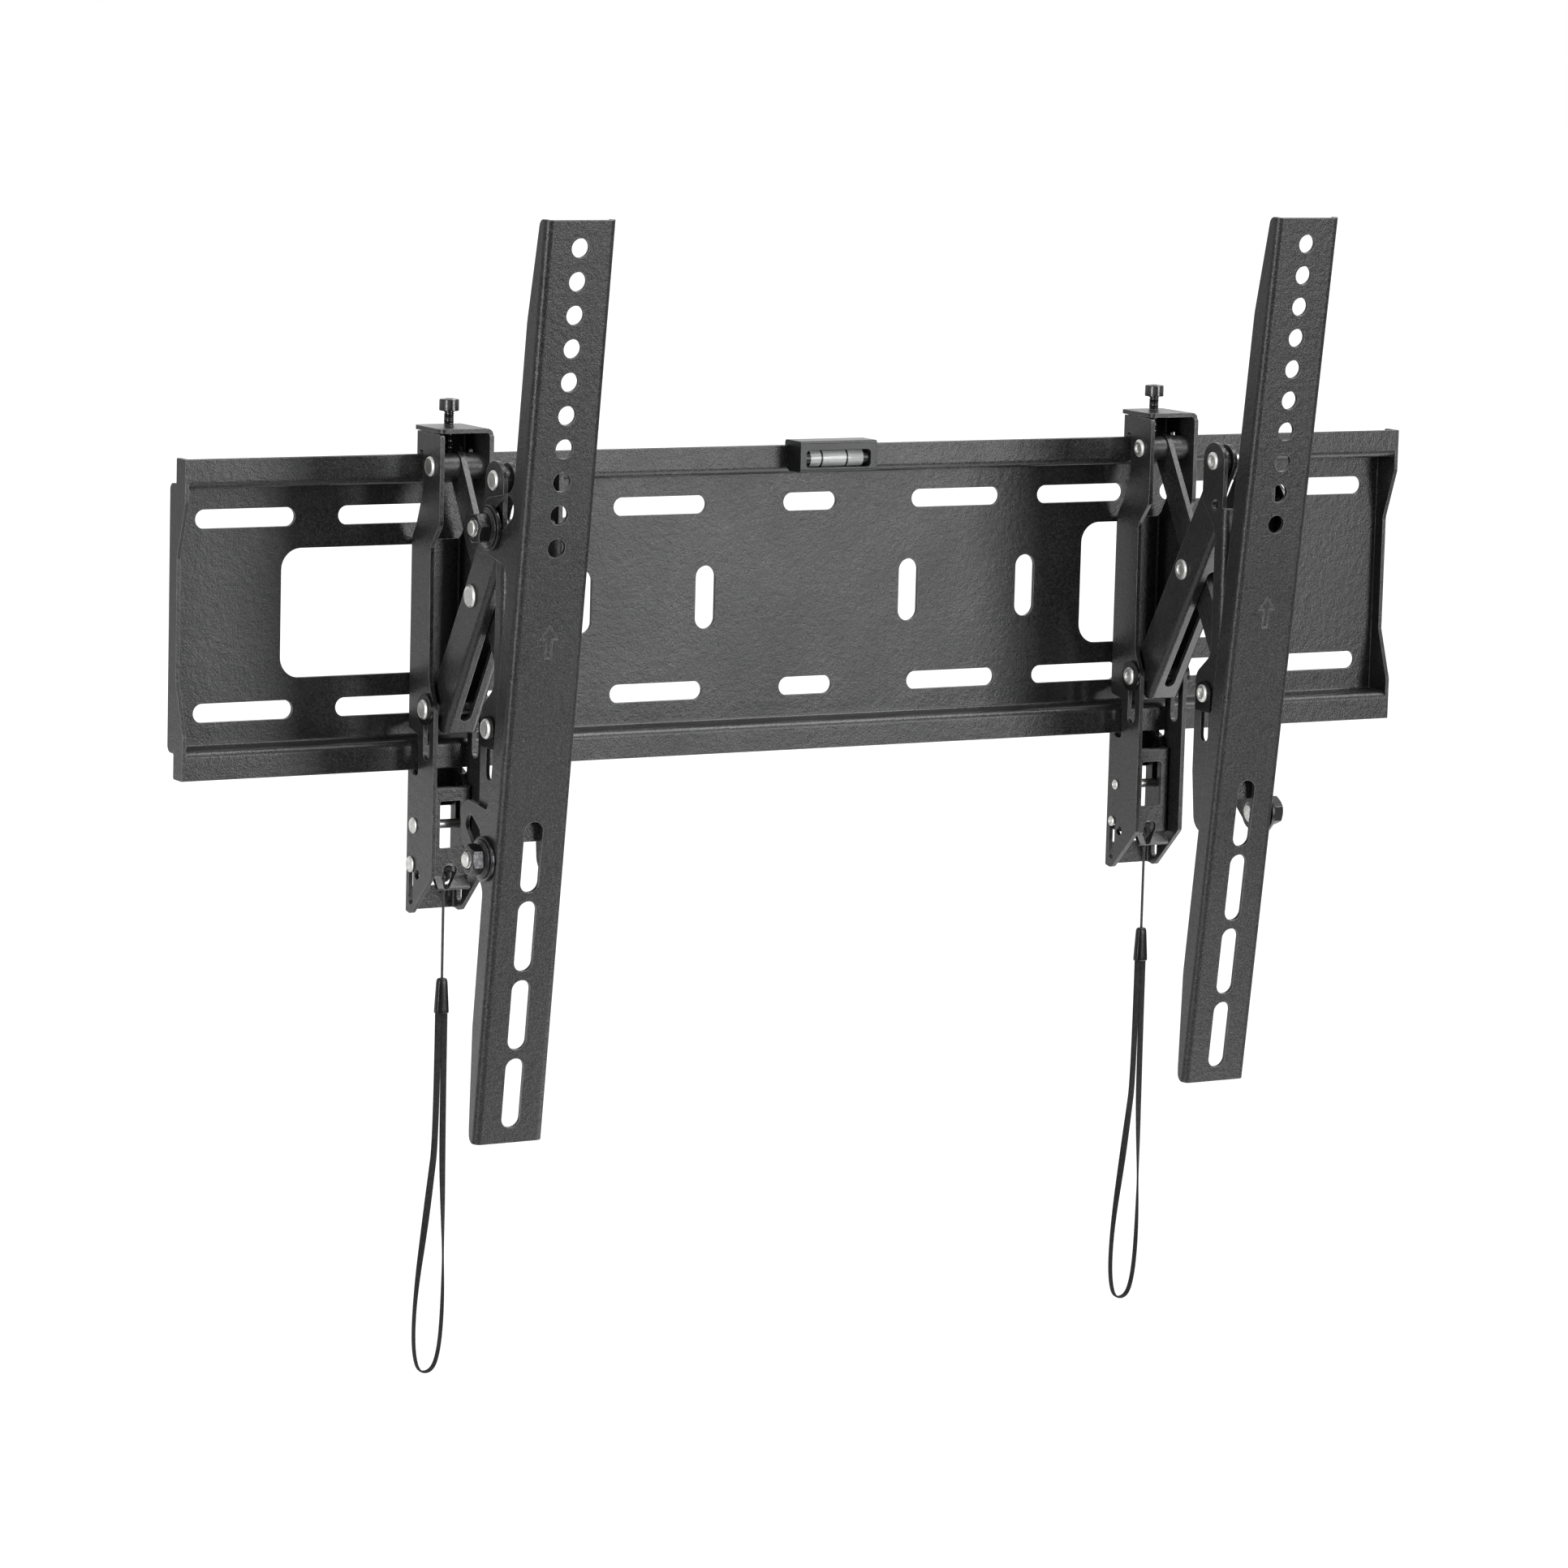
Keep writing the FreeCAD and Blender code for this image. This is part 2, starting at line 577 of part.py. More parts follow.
def hook_bracket():
    """Folded channel that hangs on the plate, with the tab of the height screw."""
    open_edge = -HOOK_HEAD_FRONT - 5
    body = channel(HOOK_HALF, HOOK_SHEET, HOOK_BEND, -HOOK_BACK, open_edge)
    head = channel(HOOK_HALF, HOOK_SHEET, HOOK_BEND, -HOOK_PRONG_BACK, open_edge)
    prong_end = LIP_TOP - HOOK_PRONG_LENGTH
    folded = prism_z(body, -HOOK_BOTTOM - 5, prong_end).fuse(prism_z(head, prong_end, HOOK_TOP))
    outline = prism_x(hook_outline(), -HOOK_HALF - 1, HOOK_HALF + 1)
    bracket = folded.common(outline).fuse(hook_tab())
    holes = [
        hook_web_opening(),
        rod_x(BACK_Y, TOP_Z, PIVOT_RADIUS + FIT, -HOOK_WIDTH, HOOK_WIDTH),
        rod_x(-GUIDE_PIN_DEPTH, GUIDE_PIN_HEIGHT, LATCH_PIN_RADIUS + FIT, -HOOK_WIDTH, HOOK_WIDTH),
        rod_x(-SMALL_HOLE_DEPTH, SMALL_HOLE_HEIGHT, SMALL_HOLE_RADIUS, -HOOK_WIDTH, HOOK_WIDTH),
        pivot_slot(BACK_Y, HOOK_WIDTH),
        slot_x((-LATCH_PIN_DEPTH, LATCH_PIN_HEIGHT),
               (-LATCH_PIN_DEPTH, LATCH_PIN_HEIGHT - LATCH_TRAVEL), LATCH_PIN_RADIUS + SLIDE,
               HOOK_WIDTH),
        Part.makeCylinder(SCREW_RADIUS + FIT, 2 * HOOK_SHEET + 2,
                          Vector(0, SCREW_Y, HOOK_TOP - HOOK_SHEET - 2)),
    ]
    return bracket.cut(Part.makeCompound(holes)).removeSplitter()


def hook_web_opening():
    """Opening in the lower web, behind the latch."""
    top = -LIP_TOP - HOOK_WEB_DROP - HOOK_WEB_BRIDGE
    bottom = -HOOK_BOTTOM + HOOK_WEB_FOOT
    outline = rectangle(0, (top + bottom) / 2, 2 * (HOOK_INSIDE - HOOK_BEND), top - bottom, HOOK_BEND)
    return prism_y(outline, -HOOK_BACK - HOOK_SHEET - 1, -HOOK_BACK + 1)


def pivot_slot(y, half_width):
    """Upright slot that a lower pivot slides in while the scissor folds."""
    radius = PIVOT_RADIUS + SLIDE
    return slot_x((y, LOW_Z), (y, TOP_Z - FOLDED_SPAN - PIN_SLOT_SPARE), radius, half_width)


def hook_outline():
    """Side view of the hook bracket's flanges."""
    over_lip = LIP_TOP + HOOK_OVER_LIP
    before_lip = -LIP_FRONT - LIP_PLAY + 0.1
    behind_lip = -LIP_BACK + LIP_PLAY
    ledge_inside = LEDGE_FACE - PLATE_SHEET
    top = HOOK_TOP - TAB_SHEET - 0.5
    foot = -HOOK_BOTTOM
    return [
        (-HOOK_PRONG_BACK, top, 1.5),
        (-HOOK_PRONG_BACK, LIP_TOP - HOOK_PRONG_LENGTH, 1.5),
        (behind_lip, LIP_TOP - HOOK_PRONG_LENGTH, 0.8),
        (behind_lip, over_lip, 1),
        (before_lip, over_lip, 1),
        (before_lip, ledge_inside - 4, 3),
        (-HOOK_BACK - 7.5, ledge_inside - 19, 4),
        (-HOOK_BACK, ledge_inside - 31, 6),
        (-HOOK_BACK, -ledge_inside + 9, 2),
        (-HOOK_BACK - 3.5, -ledge_inside + 5, 3),
        (before_lip, -ledge_inside + 3, 3),
        (before_lip, -LIP_TOP - 3, 2),
        (behind_lip + 0.5, -LIP_TOP - 3, 1),
        (-HOOK_BACK - 3, -LIP_TOP - HOOK_WEB_DROP, 1),
        (-HOOK_BACK, -LIP_TOP - HOOK_WEB_DROP, 1),
        (-HOOK_BACK, foot + 1, 2),
        (-HOOK_BACK - 8, foot - 0.5, 4),
        (-HOOK_FOOT_FRONT, SMALL_HOLE_HEIGHT + 1, 3),
        (-HOOK_FOOT_FRONT, LOW_Z + 1, 8),
        (-HOOK_WAIST_FRONT - 1, LOW_Z + HOOK_WAIST_RISE, 8),
        (-HOOK_WAIST_FRONT, TOP_Z - HOOK_WAIST_DROP, 6),
        (-HOOK_HEAD_FRONT, TOP_Z - HOOK_HEAD_DROP, 6),
        (-HOOK_HEAD_FRONT, top, 2),
    ]


def hook_tab():
    """Tab folded over the top from the right flange, with a gap above the left one."""
    underside = HOOK_TOP - TAB_SHEET
    rear = -(HOOK_HEAD_FRONT - TAB_DEPTH)
    folded = prism_y([
        (-HOOK_HALF, underside, 0), (-HOOK_HALF, HOOK_TOP, 0),
        (HOOK_HALF, HOOK_TOP, TAB_BEND + HOOK_SHEET), (HOOK_HALF, underside - 5, 0),
        (HOOK_INSIDE, underside - 5, 0), (HOOK_INSIDE, underside, TAB_BEND),
    ], -HOOK_HEAD_FRONT + 0.5, rear)
    plan = prism_z([(-HOOK_HALF, -HOOK_HEAD_FRONT + 0.5, 3), (HOOK_HALF, -HOOK_HEAD_FRONT + 0.5, 1),
                    (HOOK_HALF, rear, 1), (-HOOK_HALF, rear, 3)], underside - 10, HOOK_TOP + 1)
    return folded.common(plan)


def height_screw():
    """Socket screw through the tab; its tip stands on the plate's top lip."""
    under_head = HOOK_TOP + SCREW_SHOWING
    tip = LIP_TOP + SEAT
    shank = Part.makeCylinder(SCREW_RADIUS, under_head - tip - SCREW_TIP_LENGTH,
                              Vector(0, SCREW_Y, tip + SCREW_TIP_LENGTH))
    point = Part.makeCone(SCREW_RADIUS - SCREW_TIP_LENGTH, SCREW_RADIUS, SCREW_TIP_LENGTH,
                          Vector(0, SCREW_Y, tip))
    head = Part.makeCylinder(SCREW_HEAD_RADIUS, SCREW_HEAD_HEIGHT, Vector(0, SCREW_Y, under_head))
    head = head.makeChamfer(0.4, [head.Edges[0]])
    socket = hexagon_z(SCREW_SOCKET_WIDTH, under_head + SCREW_HEAD_HEIGHT - SCREW_SOCKET_DEPTH,
                       under_head + SCREW_HEAD_HEIGHT + 1).translate(Vector(0, SCREW_Y, 0))
    return head.fuse(shank).fuse(point).cut(socket).removeSplitter()


def hexagon_corners(across_flats):
    """Corners of a hexagon about the origin."""
    radius = across_flats / math.sqrt(3)
    angles = [math.radians(60 * k + 30) for k in range(6)]
    return [(radius * math.cos(a), radius * math.sin(a), 0) for a in angles]


def hexagon_z(across_flats, start, end):
    """Hexagonal prism along Z."""
    return prism_z(hexagon_corners(across_flats), start, end)


def upper_back_pin():
    """Rivet of the inner arm's top pivot."""
    return rivet(BACK_Y, TOP_Z, PIVOT_RADIUS, HEAD_RADIUS, HEAD_HEIGHT, HOOK_HALF + TOUCH)


def upper_back_spacers():
    """Two sleeves that keep the inner arm in the bracket's middle."""
    start = INNER_ARM_SHEET / 2 + SEAT
    return both_sides(ring_x(BACK_Y, TOP_Z, SPACER_RADIUS, PIVOT_RADIUS + FIT, start,
                             HOOK_INSIDE - TOUCH))


def latch_guide_pin():
    """Fixed pin in the bracket's foot that guides the latch and holds its spring."""
    return rivet(-GUIDE_PIN_DEPTH, GUIDE_PIN_HEIGHT, LATCH_PIN_RADIUS, SMALL_HEAD_RADIUS, 1.2,
                 HOOK_HALF + TOUCH)


# Scissor arms

def along_arm(shape):
    """Lay a shape made along -Z, with its top pivot at the origin, on the outer arm's line."""
    placed = shape.copy()
    placed.rotate(Vector(0, 0, 0), Vector(1, 0, 0), ARM_ANGLE)
    placed.translate(Vector(0, FRONT_Y, TOP_Z))
    return placed


def inner_arm():
    """Flat bar from the top back pivot to the low front pivot."""
    half = INNER_ARM_SHEET / 2
    bar = slot_x((BACK_Y, TOP_Z), (FRONT_Y, LOW_Z), INNER_ARM_WIDTH / 2, half)
    for y, z in ((BACK_Y, TOP_Z), CROSSING, (FRONT_Y, LOW_Z)):
        bar = bar.cut(rod_x(y, z, PIVOT_RADIUS + FIT, -half - 1, half + 1))
    return bar


def outer_arm():
    """Folded channel from the top front pivot to the low back pivot."""
    front = -OUTER_ARM_FRONT
    low = -ARM_PITCH
    outline = [
        (-OUTER_ARM_EAR, OUTER_ARM_EAR, OUTER_ARM_EAR - 0.3),
        (-OUTER_ARM_EAR, -0.3 * WEB_FROM_TOP_PIVOT, 12),
        (front, -WEB_FROM_TOP_PIVOT, 8),
        (front, low - WEB_PAST_LOW_PIVOT, 1.5),
        (OUTER_ARM_REAR, low - OUTER_ARM_REAR, OUTER_ARM_REAR - 0.3),
        (OUTER_ARM_REAR, OUTER_ARM_EAR, OUTER_ARM_REAR - 0.3),
    ]
    profile = channel(OUTER_ARM_HALF, OUTER_ARM_SHEET, OUTER_ARM_BEND, front, OUTER_ARM_REAR + 5)
    bar = prism_z(profile, low - OUTER_ARM_FRONT, OUTER_ARM_FRONT)
    bar = bar.common(prism_x(outline, -OUTER_ARM_HALF - 1, OUTER_ARM_HALF + 1))
    # The web starts below the top ear, so that the ear swings inside the carrier.
    above_web = Part.makeBox(2 * (OUTER_ARM_HALF - OUTER_ARM_SHEET), OUTER_ARM_FRONT,
                             WEB_FROM_TOP_PIVOT + OUTER_ARM_EAR,
                             Vector(-OUTER_ARM_HALF + OUTER_ARM_SHEET, -OUTER_ARM_FRONT,
                                    -WEB_FROM_TOP_PIVOT))
    middle = -ARM_PITCH / 2
    cross_slot = slot_y((0, middle + CROSS_SLOT_ABOVE), (0, middle - CROSS_SLOT_BELOW),
                        CROSS_SLOT_WIDTH / 2, front - 1, front + OUTER_ARM_SHEET + OUTER_ARM_BEND)
    holes = [rod_x(0, z, PIVOT_RADIUS + FIT, -OUTER_ARM_WIDTH, OUTER_ARM_WIDTH)
             for z in (0, middle, low)]
    bar = bar.cut(Part.makeCompound([above_web, cross_slot] + holes))
    return along_arm(bar)


def centre_rivet():
    """Rivet at the arms' crossing."""
    y, z = CROSSING
    return rivet(y, z, PIVOT_RADIUS, CENTRE_HEAD_RADIUS, HEAD_HEIGHT, OUTER_ARM_HALF + SEAT)


def lower_front_pin():
    """Rivet at the inner arm's low end, sliding in the carrier's slots."""
    seat = CARRIER_HALF + SEAT + WASHER_THICKNESS + TOUCH
    return rivet(FRONT_Y, LOW_Z, PIVOT_RADIUS, HEAD_RADIUS, HEAD_HEIGHT, seat)


def lower_front_spacers():
    """Two sleeves between the inner arm and the carrier's flanges."""
    return both_sides(ring_x(FRONT_Y, LOW_Z, SPACER_RADIUS, PIVOT_RADIUS + FIT,
                             INNER_ARM_SHEET / 2 + TOUCH, CARRIER_INSIDE - SEAT))


def lower_front_washers():
    """Two flat-footed washers outside the carrier's flanges."""
    half = FRONT_WASHER_HALF
    start = CARRIER_HALF + SEAT
    outline = [
        (FRONT_Y - half, LOW_Z - FRONT_WASHER_DROP, 0.8),
        (FRONT_Y + half, LOW_Z - FRONT_WASHER_DROP, 0.8),
        (FRONT_Y + half, LOW_Z + half, half - 0.2),
        (FRONT_Y - half, LOW_Z + half, half - 0.2),
    ]
    plate = prism_x(outline, start, start + WASHER_THICKNESS)
    return both_sides(plate.cut(rod_x(FRONT_Y, LOW_Z, PIVOT_RADIUS + FIT, 0, CARRIER_WIDTH)))


def lower_back_pin():
    """Rivet at the outer arm's low end, sliding in the hook bracket's slots."""
    seat = HOOK_HALF + SEAT + WASHER_THICKNESS + TOUCH
    return rivet(BACK_Y, LOW_Z, PIVOT_RADIUS, HEAD_RADIUS, HEAD_HEIGHT, seat)


def lower_back_washers():
    """Two round washers outside the hook bracket's flanges."""
    start = HOOK_HALF + SEAT
    return both_sides(ring_x(BACK_Y, LOW_Z, BACK_WASHER_RADIUS, PIVOT_RADIUS + FIT, start,
                             start + WASHER_THICKNESS))


# Tilt carrier and what is fixed to it

def tilt_carrier():
    """Folded channel between the scissor and the rail; its left flange holds the tilt bolts."""
    profile = channel(CARRIER_HALF, CARRIER_SHEET, CARRIER_BEND, -CARRIER_FRONT,
                      -CARRIER_FOOT_REAR + 5)
    ear_front = FRONT_Y - CARRIER_EAR
    ear_rear = FRONT_Y + CARRIER_EAR
    ear_top = TOP_Z + CARRIER_EAR
    waist = -CARRIER_FRONT + CARRIER_WAIST_DEPTH
    foot_bottom = LOWER_BOLT_HEIGHT - CARRIER_EAR
    outline = [
        (-CARRIER_FRONT, foot_bottom, CARRIER_EAR - 1),
        (BOLT_Y + CARRIER_EAR, foot_bottom, CARRIER_EAR - 1),
        (-CARRIER_FOOT_REAR, LOWER_BOLT_HEIGHT + CARRIER_FOOT_RISE, 8),
        (-CARRIER_FOOT_REAR, CARRIER_WAIST_BOTTOM - 10, 8),
        (waist, CARRIER_WAIST_BOTTOM, 8),
        (waist, CARRIER_WAIST_TOP, 8),
        (ear_rear, CARRIER_WAIST_TOP + CARRIER_EAR_FOOT, 8),
        (ear_rear, ear_top, CARRIER_EAR - 0.3),
        (ear_front, ear_top, CARRIER_EAR - 0.3),
        (ear_front, CARRIER_WEB_TOP + 0.5, 0.5),
        (-CARRIER_FRONT, CARRIER_WEB_TOP, 0.5),
    ]
    body = prism_z(profile, foot_bottom - 5, ear_top + 5).common(
        prism_x(outline, -CARRIER_HALF - 1, CARRIER_HALF + 1))
    open_height = CARRIER_WEB_BOTTOM - foot_bottom + 5
    below_web = Part.makeBox(2 * CARRIER_INSIDE, CARRIER_SHEET + CARRIER_BEND + 2, open_height,
                             Vector(-CARRIER_INSIDE, -CARRIER_FRONT - 1, foot_bottom - 5))
    holes = [
        rod_x(FRONT_Y, TOP_Z, PIVOT_RADIUS + FIT, -CARRIER_WIDTH, CARRIER_WIDTH),
        pivot_slot(FRONT_Y, CARRIER_WIDTH),
        rod_x(BOLT_Y, UPPER_BOLT_HEIGHT, ACCESS_HOLE_RADIUS, 0, CARRIER_WIDTH),
        below_web,
    ]
    holes += [rod_x(BOLT_Y, z, BOLT_RADIUS + TOUCH, -CARRIER_WIDTH, 0)
              for z in (UPPER_BOLT_HEIGHT, LOWER_BOLT_HEIGHT)]
    return body.cut(Part.makeCompound(holes)).removeSplitter()


def upper_front_pin():
    """Rivet of the outer arm's top pivot."""
    return rivet(FRONT_Y, TOP_Z, PIVOT_RADIUS, HEAD_RADIUS, HEAD_HEIGHT, CARRIER_HALF + TOUCH)


def upper_front_spacers():
    """Two sleeves between the outer arm's ears and the carrier's ears."""
    return both_sides(ring_x(FRONT_Y, TOP_Z, SPACER_RADIUS, PIVOT_RADIUS + FIT,
                             OUTER_ARM_HALF + SEAT, CARRIER_INSIDE - TOUCH))


def tilt_stack():
    """X of the faces of the tilt bolts' stack, from the rail's face outwards."""
    friction = RAIL_HALF + SEAT
    spring = friction + FRICTION_WASHER_THICKNESS + TOUCH
    nut = spring + SPRING_WASHER_THICKNESS + TOUCH
    end = nut + NUT_HEIGHT + BOLT_END
    return friction, spring, nut, end


def at_tilt_bolts(make):
    """One piece for each tilt bolt, made at (y, z)."""
    return [make(BOLT_Y, z) for z in (UPPER_BOLT_HEIGHT, LOWER_BOLT_HEIGHT)]


def tilt_bolts():
    """Two bolts with low heads inside the carrier."""
    end = tilt_stack()[3]

    def bolt(y, z):
        """Bolt along -X, with a domed end."""
        head_face = -CARRIER_INSIDE + TOUCH
        points = [
            (head_face + BOLT_HEAD_HEIGHT, 0), (head_face + BOLT_HEAD_HEIGHT, BOLT_HEAD_RADIUS * 0.6),
            (head_face + 1.0, BOLT_HEAD_RADIUS), (head_face, BOLT_HEAD_RADIUS),
            (head_face, BOLT_RADIUS), (-end + 1.0, BOLT_RADIUS), (-end, BOLT_RADIUS * 0.6), (-end, 0),
        ]
        return turned(points).translate(Vector(0, y, z))

    return at_tilt_bolts(bolt)


def tilt_washers():
    """A friction washer and a dished spring washer at each tilt bolt."""
    friction, spring, nut, _ = tilt_stack()

    def stack(y, z):
        """Both washers of one bolt."""
        soft = ring_x(y, z, FRICTION_WASHER_RADIUS, BOLT_RADIUS + FIT,
                      -friction - FRICTION_WASHER_THICKNESS, -friction)
        rim = SPRING_WASHER_THICKNESS * 0.45
        points = [
            (-nut + TOUCH, BOLT_RADIUS + FIT), (-nut + TOUCH, NUT_FLATS / 2),
            (-spring - rim, SPRING_WASHER_RADIUS), (-spring, SPRING_WASHER_RADIUS),
            (-spring, BOLT_RADIUS + FIT),
        ]
        dished = turned(points).translate(Vector(0, y, z))
        return [soft, dished]

    return [ring for pair in at_tilt_bolts(stack) for ring in pair]


def tilt_nuts():
    """Hexagon nuts with chamfered corners."""
    nut_face = tilt_stack()[2]
    corner = NUT_FLATS / math.sqrt(3)

    def nut(y, z):
        """Nut along X."""
        hexagon = prism_x(hexagon_corners(NUT_FLATS), -nut_face - NUT_HEIGHT, -nut_face)
        bevel = (corner - NUT_FLATS / 2) * 0.6
        points = [
            (-nut_face, 0), (-nut_face, corner + 0.1), (-nut_face - NUT_HEIGHT + bevel, corner + 0.1),
            (-nut_face - NUT_HEIGHT, NUT_FLATS / 2), (-nut_face - NUT_HEIGHT, 0),
        ]
        bored = hexagon.common(turned(points)).cut(rod_x(0, 0, BOLT_RADIUS + TOUCH, -2 * RAIL_WIDTH, 0))
        return bored.translate(Vector(0, y, z))

    return at_tilt_bolts(nut)


# Television rail

def rail_point(back, down):
    """Point (y, z) of the rail's own frame, with the rail as it stands."""
    return (-TOP_HOLE_DEPTH + back * math.cos(LEAN) + down * math.sin(LEAN),
            TOP_HOLE_HEIGHT + back * math.sin(LEAN) - down * math.cos(LEAN))


def tilt_pivot():
    """The point (y, z) that the rail turns about."""
    return rail_point(-PIVOT_AHEAD, PIVOT_DOWN)


def in_rail(y, z):
    """(back, down) of a point in the rail's own frame, with the rail as it stands."""
    dy = y + TOP_HOLE_DEPTH
    dz = z - TOP_HOLE_HEIGHT
    return dy * math.cos(LEAN) + dz * math.sin(LEAN), dy * math.sin(LEAN) - dz * math.cos(LEAN)


def bolt_in_rail(z, tilt):
    """(back, down) of a tilt bolt in the rail that has turned by tilt."""
    pivot = tilt_pivot()
    turn = math.radians(-tilt)
    dy = BOLT_Y - pivot[0]
    dz = z - pivot[1]
    return in_rail(pivot[0] + dy * math.cos(turn) - dz * math.sin(turn),
                   pivot[1] + dy * math.sin(turn) + dz * math.cos(turn))


def rail_flange(ears):
    """Corners (back, -down, radius) of a rail flange, with or without the ear and the lug."""
    top = -RAIL_TOP_MARGIN
    bottom = RAIL_LAST_SLOT + RAIL_BOTTOM_MARGIN
    corners = [(0, top, 0), (RAIL_END_FLANGE, top, 4),
               (RAIL_FLANGE, RAIL_TAPER_TOP, RAIL_TAPER_ROUND)]
    if ears:
        upper_back, upper_down = bolt_in_rail(UPPER_BOLT_HEIGHT, 0)
        lower_back, lower_down = bolt_in_rail(LOWER_BOLT_HEIGHT, 0)
        far_back, far_down = bolt_in_rail(LOWER_BOLT_HEIGHT, -RAIL_TILT_RANGE)
        corners += [
            (RAIL_FLANGE, upper_down - 24.5, 10),
            (RAIL_FLANGE + 4, upper_down - 19.5, 6),
            (upper_back + EAR_ROUND - 2, upper_down - EAR_ROUND - 1, 8),
            (upper_back + EAR_ROUND + 1, upper_down + EAR_ROUND + 1, 7),
            (RAIL_FLANGE + 6, upper_down + EAR_ROUND + 3, 3),
            (RAIL_FLANGE, upper_down + EAR_ROUND + 7, 8),
            (RAIL_FLANGE, far_down - EAR_ROUND - 5, 6),
            (RAIL_FLANGE + 2.5, far_down - EAR_ROUND, 2),
            (far_back + EAR_ROUND - 6, far_down - EAR_ROUND, 6),
            (far_back + EAR_ROUND, far_down - 5, 5),
            (far_back + EAR_ROUND - 3, far_down + 9, 6),
            (lower_back + EAR_ROUND + 10, lower_down + 1, 6),
            (RAIL_FLANGE, lower_down + 14, 8),
        ]
    corners += [
        (RAIL_FLANGE - 0.6, RAIL_TAPER_BOTTOM, RAIL_TAPER_ROUND),
        (RAIL_END_FLANGE, bottom - 6, 3),
        (RAIL_END_FLANGE - 1, bottom, 4),
        (0, bottom, 0),
    ]
    return [(back, -down, radius) for back, down, radius in corners]


def tv_rail():
    """Folded rail; its left flange has the ear and the lug with the tilt slots."""
    bottom = RAIL_LAST_SLOT + RAIL_BOTTOM_MARGIN
    profile = channel(RAIL_HALF, RAIL_SHEET, RAIL_BEND, 0, 5 * RAIL_FLANGE)
    body = prism_z(profile, -bottom - 1, RAIL_TOP_MARGIN + 1)
    eared = prism_x(rail_flange(True), -RAIL_HALF - 1, 0)
    plain = prism_x(rail_flange(False), 0, RAIL_HALF + 1)
    rail = body.common(eared.fuse(plain))
    rail = rail.cut(Part.makeCompound(rail_holes() + tilt_slots() + [arrow_groove()]))
    rail = rail.removeSplitter()
    rail.rotate(Vector(0, 0, 0), Vector(1, 0, 0), RAIL_LEAN)
    rail.translate(Vector(0, -TOP_HOLE_DEPTH, TOP_HOLE_HEIGHT))
    return rail


def rail_holes():
    """The round holes above and the slots below that take the television's screws."""
    deep = RAIL_SHEET + 1
    cuts = [Part.makeCylinder(RAIL_HOLE_RADIUS, deep + 1, Vector(0, -1, -RAIL_HOLE_PITCH * k),
                              Vector(0, 1, 0)) for k in range(RAIL_HOLE_COUNT)]
    reach = (RAIL_SLOT_LENGTH - RAIL_SLOT_WIDTH) / 2
    for k in range(RAIL_SLOT_COUNT):
        z = -(RAIL_LAST_SLOT - RAIL_SLOT_PITCH * k)
        cuts.append(slot_y((0, z + reach), (0, z - reach), RAIL_SLOT_WIDTH / 2, -1, deep))
    return cuts


def tilt_slots():
    """Slots in the left flange that the tilt bolts run in."""
    upper_rest = bolt_in_rail(UPPER_BOLT_HEIGHT, 0)
    upper_back = bolt_in_rail(UPPER_BOLT_HEIGHT, -RAIL_TILT_RANGE)
    lower_rest = bolt_in_rail(LOWER_BOLT_HEIGHT, 0)
    lower_back = bolt_in_rail(LOWER_BOLT_HEIGHT, -RAIL_TILT_RANGE)

    def cut(first, first_radius, last, last_radius):
        """Slot through the left flange only."""
        return slot_prism((first[0], -first[1]), first_radius, (last[0], -last[1]), last_radius,
                          lambda back, up: Vector(-RAIL_HALF - 1, back, up),
                          Vector(RAIL_SHEET + 2, 0, 0))

    return [cut(upper_rest, UPPER_TILT_SLOT_RADIUS, upper_back, UPPER_TILT_SLOT_RADIUS),
            cut(lower_rest, LOWER_TILT_SLOT_WIDE, lower_back, LOWER_TILT_SLOT_NARROW)]


def arrow_groove():
    """Shallow outline of an upward arrow in the rail's face."""
    outer = prism_y(arrow_corners(ARROW_LINE / 2), -1, ARROW_DEPTH)
    inner = prism_y(arrow_corners(-ARROW_LINE / 2), -2, ARROW_DEPTH + 1)
    return outer.cut(inner)


def arrow_corners(grow):
    """Arrow outline in (x, z), grown or shrunk by grow on every side."""
    tip = -ARROW_TIP + 1.8 * grow
    neck = -ARROW_TIP - ARROW_HEAD
    foot = -ARROW_TIP - ARROW_LENGTH - grow
    head = ARROW_HEAD_WIDTH / 2 + 2.2 * grow
    shaft = ARROW_SHAFT_WIDTH / 2 + grow
    return [(0, tip, 0), (head, neck - grow, 0), (shaft, neck - grow, 0), (shaft, foot, 0),
            (-shaft, foot, 0), (-shaft, neck - grow, 0), (-head, neck - grow, 0)]


# Latch and pull cord

